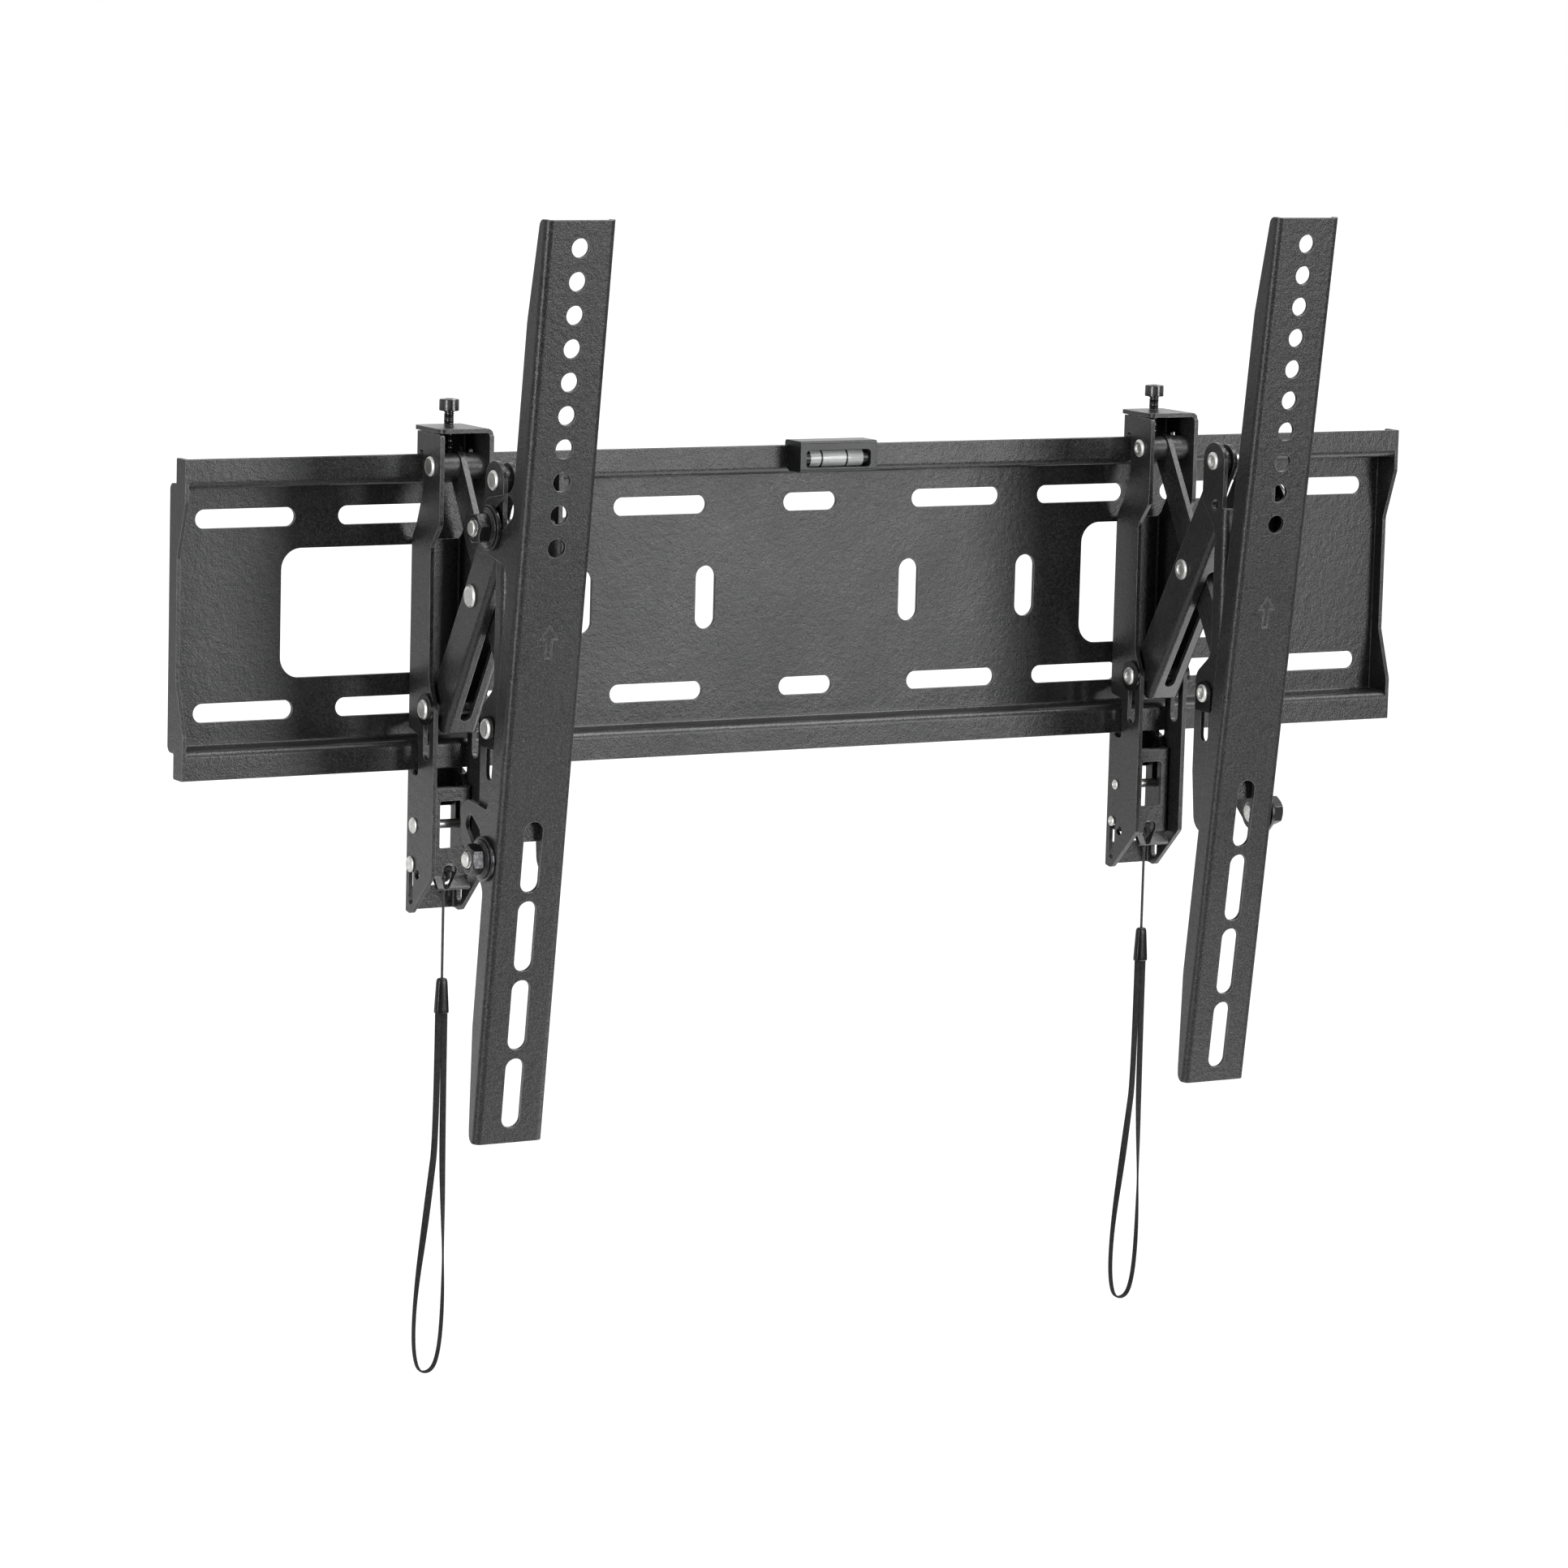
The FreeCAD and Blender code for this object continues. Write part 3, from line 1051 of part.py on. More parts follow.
def latch():
    """Folded slide whose nose locks behind the plate's bottom lip."""
    profile = channel(LATCH_HALF, LATCH_SHEET, LATCH_BEND, -LATCH_FRONT, -LATCH_REAR + 2)
    body = prism_z(profile, LATCH_BOTTOM, LATCH_NOSE_TOP).common(
        prism_x(latch_outline(), -LATCH_HALF - 1, LATCH_HALF + 1))
    body = body.fuse(latch_lip())
    window = prism_y(rectangle(0, LATCH_WINDOW_TOP - LATCH_WINDOW_HEIGHT / 2, LATCH_WINDOW_WIDTH,
                               LATCH_WINDOW_HEIGHT, 1), -LATCH_FRONT - 1,
                     -LATCH_FRONT + LATCH_SHEET + 1)
    keyhole = slot_y((0, KEYHOLE_HEIGHT), (CORD_SIDE, KEYHOLE_HEIGHT - KEYHOLE_SLOT), KEYHOLE_RADIUS,
                     -LATCH_FRONT - 8, -LATCH_FRONT + LATCH_SHEET + 1,
                     STRING_DIAMETER / 2 + STRING_PLAY)
    guide = slot_x((-GUIDE_PIN_DEPTH, GUIDE_PIN_HEIGHT),
                   (-GUIDE_PIN_DEPTH, GUIDE_PIN_HEIGHT + LATCH_TRAVEL), LATCH_PIN_RADIUS + SLIDE,
                   HOOK_WIDTH)
    pin_hole = rod_x(-LATCH_PIN_DEPTH, LATCH_PIN_HEIGHT, LATCH_PIN_RADIUS + TOUCH, -HOOK_WIDTH,
                     HOOK_WIDTH)
    return body.cut(Part.makeCompound([window, keyhole, guide, pin_hole])).removeSplitter()


def latch_outline():
    """Side view of the latch's flanges, with the nose at the top."""
    nose_front = -LIP_BACK + LIP_PLAY - 0.5
    return [
        (-LATCH_FRONT, LATCH_BOTTOM, 0),
        (-LATCH_FRONT, LATCH_TOP, 1),
        (-LATCH_FRONT + 6, LATCH_TOP, 2),
        (-LIP_FRONT, LATCH_NOSE_ROOT, 1),
        (nose_front, LATCH_NOSE_ROOT, 0.8),
        (nose_front, LATCH_NOSE_TOP, 1.5),
        (nose_front + LATCH_NOSE_WIDTH, LATCH_NOSE_TOP, 1.5),
        (-LATCH_REAR, LATCH_NOSE_ROOT, 1.5),
        (-LATCH_REAR, LATCH_BOTTOM, 3),
    ]


def latch_lip():
    """Finger lip folded forward at the latch's bottom, in which the pull cord hangs."""
    front = -LATCH_FRONT
    back = front + LATCH_SHEET
    return prism_x([
        (front, LATCH_BOTTOM + 3, 0), (back, LATCH_BOTTOM + 3, 0), (back, LATCH_BOTTOM - 0.2, 2.6),
        (front - LATCH_LIP_REACH + 1.5, LATCH_BOTTOM - LATCH_LIP_DROP - 0.6, 0.3),
        (front - LATCH_LIP_REACH, LATCH_BOTTOM - LATCH_LIP_DROP + 0.8, 0.3),
        (front, LATCH_BOTTOM + 0.8, 0.8),
    ], -LATCH_LIP_HALF, LATCH_LIP_HALF)


def latch_pin():
    """Rivet of the latch that slides in the bracket's foot slots."""
    return rivet(-LATCH_PIN_DEPTH, LATCH_PIN_HEIGHT, LATCH_PIN_RADIUS, SMALL_HEAD_RADIUS, 1.2,
                 HOOK_HALF + SEAT)


def latch_spring():
    """Close-wound pull spring between the two foot pins, with an eye at each end."""
    eye_inside = LATCH_PIN_RADIUS + NEAR
    eye = eye_inside + SPRING_HOOK_WIRE
    top = GUIDE_PIN_HEIGHT - eye - SPRING_HOOK_WIRE / 2
    bottom = LATCH_PIN_HEIGHT + eye + SPRING_HOOK_WIRE / 2
    turns = int((top - bottom) / SPRING_WIRE)
    pitch = (top - bottom) / turns
    corners = [(0, top)]
    for k in range(turns):
        corners.append((SPRING_RADIUS - 0.25 * SPRING_WIRE, top - pitch * k))
        corners.append((SPRING_RADIUS, top - pitch * (k + 0.25)))
        corners.append((SPRING_RADIUS, top - pitch * (k + 0.75)))
    corners.append((SPRING_RADIUS - 0.25 * SPRING_WIRE, bottom))
    corners.append((0, bottom))
    wire = rounded_wire([(r, z, 0) for r, z in corners], lambda r, z: Vector(r, 0, z))
    coil = Part.Face(wire).revolve(Vector(0, 0, 0), Vector(0, 0, 1), 360)
    coil = coil.cut(Part.makeCylinder(SPRING_RADIUS - SPRING_WIRE, top - bottom - 2 * SPRING_WIRE,
                                      Vector(0, 0, bottom + SPRING_WIRE)))
    middle_y = -(GUIDE_PIN_DEPTH + LATCH_PIN_DEPTH) / 2
    coil.translate(Vector(SPRING_SIDE, middle_y, 0))
    eyes = []
    for y, z in ((-GUIDE_PIN_DEPTH, GUIDE_PIN_HEIGHT), (-LATCH_PIN_DEPTH, LATCH_PIN_HEIGHT)):
        eyes.append(Part.makeTorus(eye, SPRING_HOOK_WIRE, Vector(SPRING_SIDE, y, z),
                                   Vector(1, 0, 0)))
    return coil.fuse(eyes[0]).fuse(eyes[1])


def rounded_path(points):
    """Open wire of straight runs joined by tangent arcs as large as the runs allow."""
    edges = []
    radii = []
    start = points[0]
    for before, corner, after in zip(points, points[1:], points[2:]):
        back = before.sub(corner)
        ahead = after.sub(corner)
        shorter = min(back.Length, ahead.Length)
        back.normalize()
        ahead.normalize()
        half_turn = (math.pi - back.getAngle(ahead)) / 2
        cut = 0.45 * shorter
        radius = cut / math.tan(half_turn)
        first = corner.add(Vector(back).multiply(cut))
        last = corner.add(Vector(ahead).multiply(cut))
        bisector = back.add(ahead).normalize()
        middle = corner.add(bisector.multiply(radius / math.cos(half_turn) - radius))
        edges.append(Part.LineSegment(start, first).toShape())
        edges.append(Part.Arc(first, middle, last).toShape())
        radii.append(radius)
        start = last
    edges.append(Part.LineSegment(start, points[-1]).toShape())
    return Part.Wire(edges), radii


def pull_string():
    """Straight string from the latch's lip to the ferrule."""
    return Part.makeCylinder(STRING_DIAMETER / 2, CORD_TOP - STRING_BOTTOM,
                             Vector(CORD_SIDE, -CORD_DEPTH, STRING_BOTTOM))


def pull_ferrule():
    """Tapered plastic piece that joins the string to the strap."""
    middle = (CORD_SIDE, -CORD_DEPTH)
    levels = ((STRING_BOTTOM, FERRULE_TOP_WIDTH, FERRULE_TOP_DEPTH),
              (STRING_BOTTOM - 3.0, FERRULE_TOP_WIDTH + 1.0, FERRULE_TOP_DEPTH + 0.6),
              (FERRULE_BOTTOM, FERRULE_WIDTH, FERRULE_DEPTH))
    wires = [rounded_wire(rectangle(middle[0], middle[1], width, depth, FERRULE_CORNER),
                          lambda x, y, z=z: Vector(x, y, z)) for z, width, depth in levels]
    upper = Part.makeLoft([wires[0], wires[1]], True, True)
    lower = Part.makeLoft([wires[1], wires[2]], True, True)
    return upper.fuse(lower)


def pull_loop():
    """Flat strap that hangs from the ferrule as a narrow loop."""
    points = [Vector(CORD_SIDE + x, -CORD_DEPTH, FERRULE_BOTTOM + z) for x, z in STRAP_ROUTE]
    path, radii = rounded_path(points)
    start = points[0]
    section = rounded_wire(rectangle(start.x, start.y, STRAP_WIDTH, STRAP_THICKNESS),
                           lambda x, y: Vector(x, y, start.z))
    strap = path.makePipeShell([section], True, False)
    print("strap bends", [round(radius, 1) for radius in radii])
    print("strap length", round(path.Length, 1), "volume", round(strap.Volume, 1),
          "section times length", round(STRAP_WIDTH * STRAP_THICKNESS * path.Length, 1))
    return strap


# Assembly

PLATE_PIECES = {
    "wall_plate": wall_plate,
    "level_housing": level_housing,
    "level_vial": level_vial,
}

EQUAL_PIECES = {
    "hook_bracket": hook_bracket,
    "height_screw": height_screw,
    "upper_back_pin": upper_back_pin,
    "upper_back_spacers": upper_back_spacers,
    "latch_guide_pin": latch_guide_pin,
    "inner_arm": inner_arm,
    "centre_rivet": centre_rivet,
    "lower_front_pin": lower_front_pin,
    "lower_front_washers": lower_front_washers,
    "lower_front_spacers": lower_front_spacers,
    "outer_arm": outer_arm,
    "lower_back_pin": lower_back_pin,
    "lower_back_washers": lower_back_washers,
    "upper_front_pin": upper_front_pin,
    "upper_front_spacers": upper_front_spacers,
    "latch": latch,
    "latch_pin": latch_pin,
    "latch_spring": latch_spring,
    "pull_string": pull_string,
    "pull_ferrule": pull_ferrule,
    "pull_loop": pull_loop,
}

HANDED_PIECES = {
    "tilt_carrier": tilt_carrier,
    "tilt_bolts": tilt_bolts,
    "tilt_washers": tilt_washers,
    "tilt_nuts": tilt_nuts,
    "tv_rail": tv_rail,
}


def as_one_shape(made):
    """A single solid, or the compound of a group of solids."""
    return Part.makeCompound(made) if isinstance(made, list) else made


def write(name, shape):
    """Check a node's solids and write its file."""
    solids = shape.Solids
    if not solids or not shape.isValid():
        print("bad shape", name, len(solids), shape.isValid())
    kept = solids[0] if len(solids) == 1 else Part.makeCompound(solids)
    kept.exportStep(f"parts/{name}.step")


def main():
    """Build every piece and write one file for each."""
    os.makedirs("parts", exist_ok=True)
    for name, make in PLATE_PIECES.items():
        write(name, as_one_shape(make()))
    for name, make in {**EQUAL_PIECES, **HANDED_PIECES}.items():
        shape = as_one_shape(make())
        for side, middle in UNIT_MIDDLES.items():
            placed = mirrored(shape) if name in HANDED_PIECES and side == "right" else shape.copy()
            placed.translate(Vector(middle, 0, 0))
            write(f"{side}_{name}", placed)


main()
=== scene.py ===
"""Looks of a tilting television wall bracket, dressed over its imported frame."""
import logging
import math
from dataclasses import dataclass, field
from enum import Enum
from functools import lru_cache
from typing import Any, Callable, Dict, List, Optional, Sequence, Tuple

import bmesh
import bpy
from mathutils import Matrix, Vector


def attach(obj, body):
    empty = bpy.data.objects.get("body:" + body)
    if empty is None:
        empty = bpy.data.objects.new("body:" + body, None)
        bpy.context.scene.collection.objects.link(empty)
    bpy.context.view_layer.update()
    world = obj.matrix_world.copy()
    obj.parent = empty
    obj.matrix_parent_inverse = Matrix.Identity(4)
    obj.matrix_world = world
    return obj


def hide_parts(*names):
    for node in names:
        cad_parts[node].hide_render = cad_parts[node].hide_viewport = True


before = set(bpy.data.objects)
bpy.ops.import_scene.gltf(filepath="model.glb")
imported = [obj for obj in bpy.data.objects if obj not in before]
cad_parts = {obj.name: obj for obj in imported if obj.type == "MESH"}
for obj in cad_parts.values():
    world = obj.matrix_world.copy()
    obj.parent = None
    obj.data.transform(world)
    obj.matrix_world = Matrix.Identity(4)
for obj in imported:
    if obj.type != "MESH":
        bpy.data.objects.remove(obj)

logging.basicConfig(level=logging.INFO, format="%(message)s")
LOG = logging.getLogger("wall_bracket")

Colour = Tuple[float, float, float]
Place = Tuple[float, float, float]
Outline = Sequence[Tuple[float, float]]
Frame = Tuple[Vector, Vector, Vector, Vector]  # a point, and the ways along, across and out
MM = 0.001


# Names

class Side(Enum):
    """The two arm units, named as the camera sees them."""

    LEFT = "left"
    RIGHT = "right"

    @property
    def middle(self) -> float:
        """X of the unit's middle, in metres."""
        return {Side.LEFT: -0.2053, Side.RIGHT: 0.1899}[self]

    @property
    def outward(self) -> int:
        """Direction along X from the plate's middle to this unit's outer side."""
        return -1 if self is Side.LEFT else 1

    def name(self, piece: str) -> str:
        """Name of this unit's piece, node or body."""
        return f"{self.value}_{piece}"


class Slot(Enum):
    """Material slots of the record."""

    POWDER_COAT = "powder_coat"
    BLACK_STEEL = "black_steel"
    ZINC = "zinc"
    NUT_STEEL = "nut_steel"
    STACK_WASHER = "stack_washer"
    BLACK_SCREW = "black_screw"
    SPRING_WIRE = "spring_wire"
    BLACK_PLASTIC = "black_plastic"
    LEVEL_PLASTIC = "level_plastic"
    LEVEL_GLASS = "level_glass"
    STRING_BLACK = "string_black"
    STRAP_BRAID = "strap_braid"


class HeadStyle(Enum):
    """Shapes of a rivet's two ends."""

    FORMED = "formed"
    PEENED = "peened"


# Node trees

class Desk:
    """Sets out the nodes of one tree."""

    def __init__(self, tree: bpy.types.NodeTree) -> None:
        """Take up a tree."""
        self.tree = tree

    def find(self, kind: str) -> bpy.types.Node:
        """First node of a type that the tree already has."""
        return next(node for node in self.tree.nodes if node.type == kind)

    def feed(self, node: bpy.types.Node, inputs: Dict[Any, Any]) -> None:
        """Give a node's inputs, by name or number, their values or the sockets that feed them."""
        for key, value in inputs.items():
            if isinstance(value, bpy.types.NodeSocket):
                self.tree.links.new(value, node.inputs[key])
            else:
                node.inputs[key].default_value = value

    def add(self, kind: str, inputs: Optional[Dict[Any, Any]] = None,
            **settings: Any) -> bpy.types.Node:
        """Add a node.

        Args:
            kind: Type of the node.
            inputs: Value, or socket to join, for each input by name or number.
            settings: Properties of the node.

        Returns:
            The new node.
        """
        node = self.tree.nodes.new(kind)
        for key, value in settings.items():
            setattr(node, key, value)
        self.feed(node, inputs or {})
        return node

    def math(self, kind: str, first: Any, second: Any = 0.0) -> bpy.types.NodeSocket:
        """Work out one value from two."""
        return self.add("ShaderNodeMath", {0: first, 1: second}, operation=kind).outputs[0]

    def span(self, value: bpy.types.NodeSocket, low: float, high: float, to_low: float,
             to_high: float) -> bpy.types.NodeSocket:
        """Map a range of values to another, held at its ends."""
        node = self.add("ShaderNodeMapRange", {0: value, 1: low, 2: high, 3: to_low, 4: to_high})
        return node.outputs[0]


class MaterialDesk(Desk):
    """Sets out the nodes of one material."""

    def __init__(self, name: str) -> None:
        """Start a material with one main shader.

        Args:
            name: Name of the material.
        """
        self.material = bpy.data.materials.new(name)
        self.material.use_nodes = True
        super().__init__(self.material.node_tree)
        self.shader = self.find("BSDF_PRINCIPLED")
        self.place = self.add("ShaderNodeTexCoord").outputs["Object"]

    def noise(self, size: float, detail: float = 2.0, harshness: float = 0.5,
              place: Optional[bpy.types.NodeSocket] = None) -> bpy.types.NodeSocket:
        """Noise whose features are about this size in metres."""
        node = self.add("ShaderNodeTexNoise", {"Vector": place or self.place, "Scale": 1 / size,
                                               "Detail": detail, "Roughness": harshness})
        return node.outputs[0]

    def stretched(self, scale: Place) -> bpy.types.NodeSocket:
        """Object coordinates stretched by a factor for each axis."""
        return self.add("ShaderNodeMapping", {"Vector": self.place, "Scale": scale}).outputs[0]

    def mix(self, share: bpy.types.NodeSocket, first: Any, second: Any) -> bpy.types.NodeSocket:
        """Mix two colours, given as colours or sockets."""
        ends = [c if isinstance(c, bpy.types.NodeSocket) else (*c, 1.0) for c in (first, second)]
        node = self.add("ShaderNodeMix", {0: share, 6: ends[0], 7: ends[1]}, data_type="RGBA")
        return node.outputs[2]

    def rounded(self, radius: float) -> bpy.types.NodeSocket:
        """Normal that rounds the edges by a radius in metres."""
        return self.add("ShaderNodeBevel", {"Radius": radius}, samples=4).outputs[0]

    def edge(self, rounded: bpy.types.NodeSocket, full: float = 0.92) -> bpy.types.NodeSocket:
        """Share of edge, from 0 on a flat to 1 where the rounded normal turns away."""
        flat = self.add("ShaderNodeNewGeometry").outputs["Normal"]
        same = self.add("ShaderNodeVectorMath", {0: flat, 1: rounded}, operation="DOT_PRODUCT")
        return self.span(same.outputs["Value"], 0.999, full, 0.0, 1.0)

    def bump(self, height: bpy.types.NodeSocket, depth: float,
             normal: Optional[bpy.types.NodeSocket] = None) -> bpy.types.NodeSocket:
        """Normal of a relief of this depth in metres."""
        inputs = {"Height": height, "Distance": depth, "Strength": 1.0}
        if normal is not None:
            inputs["Normal"] = normal
        return self.add("ShaderNodeBump", inputs).outputs[0]

    def set(self, **values: Any) -> bpy.types.Material:
        """Give the main shader its values or sockets, with _ for each space in a name."""
        self.feed(self.shader, {key.replace("_", " "): value for key, value in values.items()})
        return self.material


class ShapeDesk(Desk):
    """Sets out a Geometry Nodes tree that ends in Realize Instances and Set Material."""

    KINDS = {float: "NodeSocketFloat", int: "NodeSocketInt", tuple: "NodeSocketVector"}

    def __init__(self, name: str, sizes: Dict[str, Any]) -> None:
        """Start a tree.

        Args:
            name: Name of the tree.
            sizes: Named inputs and their usual values.
        """
        super().__init__(bpy.data.node_groups.new(name, "GeometryNodeTree"))
        face = self.tree.interface
        face.new_socket("Geometry", in_out="INPUT", socket_type="NodeSocketGeometry")
        for key, value in sizes.items():
            socket = face.new_socket(key, in_out="INPUT", socket_type=self.KINDS[type(value)])
            socket.default_value = value
        face.new_socket("Material", in_out="INPUT", socket_type="NodeSocketMaterial")
        face.new_socket("Geometry", in_out="OUTPUT", socket_type="NodeSocketGeometry")
        self.inputs = self.tree.nodes.new("NodeGroupInput").outputs

    def vector(self, x: Any = 0.0, y: Any = 0.0, z: Any = 0.0) -> bpy.types.NodeSocket:
        """Vector from three values."""
        return self.add("ShaderNodeCombineXYZ", {0: x, 1: y, 2: z}).outputs[0]

    def reading(self, name: str, kind: str) -> bpy.types.NodeSocket:
        """What the mesh holds under a name, as a kind of value."""
        node = self.add("GeometryNodeInputNamedAttribute", {"Name": name}, data_type=kind)
        return node.outputs[0]

    def together(self, *parts: bpy.types.NodeSocket) -> bpy.types.NodeSocket:
        """Join several geometries."""
        joined = self.add("GeometryNodeJoinGeometry")
        for part in parts:
            self.tree.links.new(part, joined.inputs[0])
        return joined.outputs[0]

    def finish(self, *parts: bpy.types.NodeSocket) -> bpy.types.NodeTree:
        """Join the parts, realize them, give them the material and end the tree."""
        real = self.add("GeometryNodeRealizeInstances", {0: self.together(*parts)})
        dressed = self.add("GeometryNodeSetMaterial", {"Geometry": real.outputs[0],
                                                       "Material": self.inputs["Material"]})
        self.add("NodeGroupOutput", {0: dressed.outputs[0]})
        return self.tree

    @staticmethod
    def run(piece: bpy.types.Object, tree: bpy.types.NodeTree, values: Dict[str, Any]) -> None:
        """Run a tree on a piece and keep the result as its plain mesh.

        Args:
            piece: Object whose mesh goes in.
            tree: The tree.
            values: Values of its named inputs.
        """
        modifier = piece.modifiers.new(tree.name, "NODES")
        modifier.node_group = tree
        for item in tree.interface.items_tree:
            if item.in_out == "INPUT" and item.name in values:
                modifier[item.identifier] = values[item.name]
        graph = bpy.context.evaluated_depsgraph_get()
        made = bpy.data.meshes.new_from_object(piece.evaluated_get(graph))
        old = piece.data
        piece.modifiers.clear()
        piece.data = made
        bpy.data.meshes.remove(old)
        made.name = piece.name


# Meshes

class Workshop:
    """Makes plain meshes from rings of points."""

    @staticmethod
    def object(name: str, data: bpy.types.ID) -> bpy.types.Object:
        """Put a mesh, curve, lamp or camera into the scene as an object at the origin."""
        piece = bpy.data.objects.new(name, data)
        bpy.context.scene.collection.objects.link(piece)
        return piece

    @staticmethod
    def rings(name: str, rings: Sequence[Sequence[Vector]], capped: bool = True,
              joined: bool = False) -> bpy.types.Object:
        """Skin rings that have the same number of points.

        Args:
            name: Name of the new object.
            rings: Rings from one end to the other.
            capped: Whether the two end rings are closed.
            joined: Whether the last ring joins the first, as in a washer.

        Returns:
            The object.
        """
        work = bmesh.new()
        rows = [[work.verts.new(point) for point in ring] for ring in rings]
        pairs = list(zip(rows, rows[1:]))
        if joined:
            pairs.append((rows[-1], rows[0]))
        for lower, upper in pairs:
            for k, corner in enumerate(lower):
                after = (k + 1) % len(lower)
                work.faces.new((corner, lower[after], upper[after], upper[k]))
        if capped and not joined:
            for row in (rows[0], rows[-1]):
                middle = work.verts.new(sum((v.co for v in row), Vector()) / len(row))
                for k, corner in enumerate(row):
                    work.faces.new((corner, row[(k + 1) % len(row)], middle))
        bmesh.ops.remove_doubles(work, verts=work.verts, dist=1e-7)
        bmesh.ops.recalc_face_normals(work, faces=work.faces)
        mesh = bpy.data.meshes.new(name)
        work.to_mesh(mesh)
        work.free()
        return Workshop.object(name, mesh)

    @staticmethod
    def turn(count: int) -> List[float]:
        """Angles of one full turn in even steps."""
        return [2 * math.pi * k / count for k in range(count)]

    @staticmethod
    def circle(radius: float, height: float, count: int = 48) -> List[Vector]:
        """Ring about Z, from sizes in millimetres."""
        return [Vector((radius * math.cos(a), radius * math.sin(a), height)) * MM
                for a in Workshop.turn(count)]

    @staticmethod
    def oval(half_width: float, half_depth: float, count: int, fullness: float = 0.7
             ) -> List[Tuple[float, float]]:
        """Points of an oval that is fuller at its corners than an ellipse.

        Args:
            half_width: Half of its width.
            half_depth: Half of its depth.
            count: Number of points.
            fullness: 1 for an ellipse, less for a squarer oval.

        Returns:
            The points.
        """
        waves = [(math.cos(a), math.sin(a)) for a in Workshop.turn(count)]
        return [(half_width * math.copysign(abs(c) ** fullness, c),
                 half_depth * math.copysign(abs(s) ** fullness, s)) for c, s in waves]

    @staticmethod
    def hexagon(flats: float, height: float, count: int = 48, limit: float = 1e9,
                fall: float = 0.0) -> List[Vector]:
        """Ring along a hexagon about Z, in millimetres.

        Args:
            flats: Width across flats.
            height: Height of the ring.
            count: Points of the ring, a multiple of 6.
            limit: Radius past which the ring falls away, as a nut's chamfer does.
            fall: How far it falls for each millimetre past the limit.

        Returns:
            The points.
        """
        points = []
        for angle in Workshop.turn(count):
            off_flat = (angle + math.pi / 6) % (math.pi / 3) - math.pi / 6
            radius = flats / 2 / math.cos(off_flat)
            drop = max(0.0, radius - limit) * fall
            points.append(Vector((radius * math.cos(angle), radius * math.sin(angle),
                                  height - drop)) * MM)
        return points

    @staticmethod
    def lathe(name: str, outline: Outline, count: int = 48, joined: bool = False
              ) -> bpy.types.Object:
        """Turn an outline (radius, height) in millimetres about Z."""
        return Workshop.rings(name, [Workshop.circle(r, h, count) for r, h in outline],
                              joined=joined)

    @staticmethod
    def fillet(outline: Outline, radius: float, steps: int = 3) -> List[Tuple[float, float]]:
        """Round each corner of an open outline.

        Args:
            outline: Corners, in millimetres.
            radius: Cut along each leg, held to under half of it.
            steps: Points per corner.

        Returns:
            The rounded outline, with its two ends kept.
        """
        points = [Vector(corner) for corner in outline]
        made = [tuple(points[0])]
        for before, corner, after in zip(points, points[1:], points[2:]):
            cut_in = min(radius, (before - corner).length * 0.45)
            cut_out = min(radius, (after - corner).length * 0.45)
            start = corner + (before - corner).normalized() * cut_in
            end = corner + (after - corner).normalized() * cut_out
            for k in range(steps + 1):
                t = k / steps
                made.append(tuple(start * (1 - t) ** 2 + corner * 2 * t * (1 - t) + end * t * t))
        made.append(tuple(points[-1]))
        return made

    @staticmethod
    def polish(piece: bpy.types.Object, sharp: float = 35.0) -> bpy.types.Object:
        """Shade smooth, apart from edges sharper than an angle in degrees."""
        piece.data.shade_smooth()
        piece.data.set_sharp_from_angle(angle=math.radians(sharp))
        return piece

    @staticmethod
    def join(name: str, parts: Sequence[bpy.types.Object]) -> bpy.types.Object:
        """Make one object of several, and delete them."""
        work = bmesh.new()
        for part in parts:
            work.from_mesh(part.data)
            bpy.data.meshes.remove(part.data)
        mesh = bpy.data.meshes.new(name)
        work.to_mesh(mesh)
        work.free()
        return Workshop.object(name, mesh)

    @staticmethod
    def tube(name: str, path: Sequence[Vector], radius: float, count: int = 8
             ) -> bpy.types.Object:
        """Round tube along points, in metres, with closed ends."""
        rings = []
        across = Workshop.start_across(path)
        for k, point in enumerate(path):
            along = Workshop.along(path, k)
            across = (across - along * across.dot(along)).normalized()
            other = along.cross(across)
            rings.append([point + (across * math.cos(a) + other * math.sin(a)) * radius
                          for a in Workshop.turn(count)])
        return Workshop.rings(name, rings)

    @staticmethod
    def along(path: Sequence[Vector], index: int) -> Vector:
        """Direction of a path at one of its points."""
        before = path[max(index - 1, 0)]
        after = path[min(index + 1, len(path) - 1)]
        return (after - before).normalized()

    @staticmethod
    def start_across(path: Sequence[Vector]) -> Vector:
        """A direction square to a path's start."""
        along = Workshop.along(path, 0)
        side = Vector((1, 0, 0)) if abs(along.x) < 0.8 else Vector((0, 0, 1))
        return (side - along * side.dot(along)).normalized()


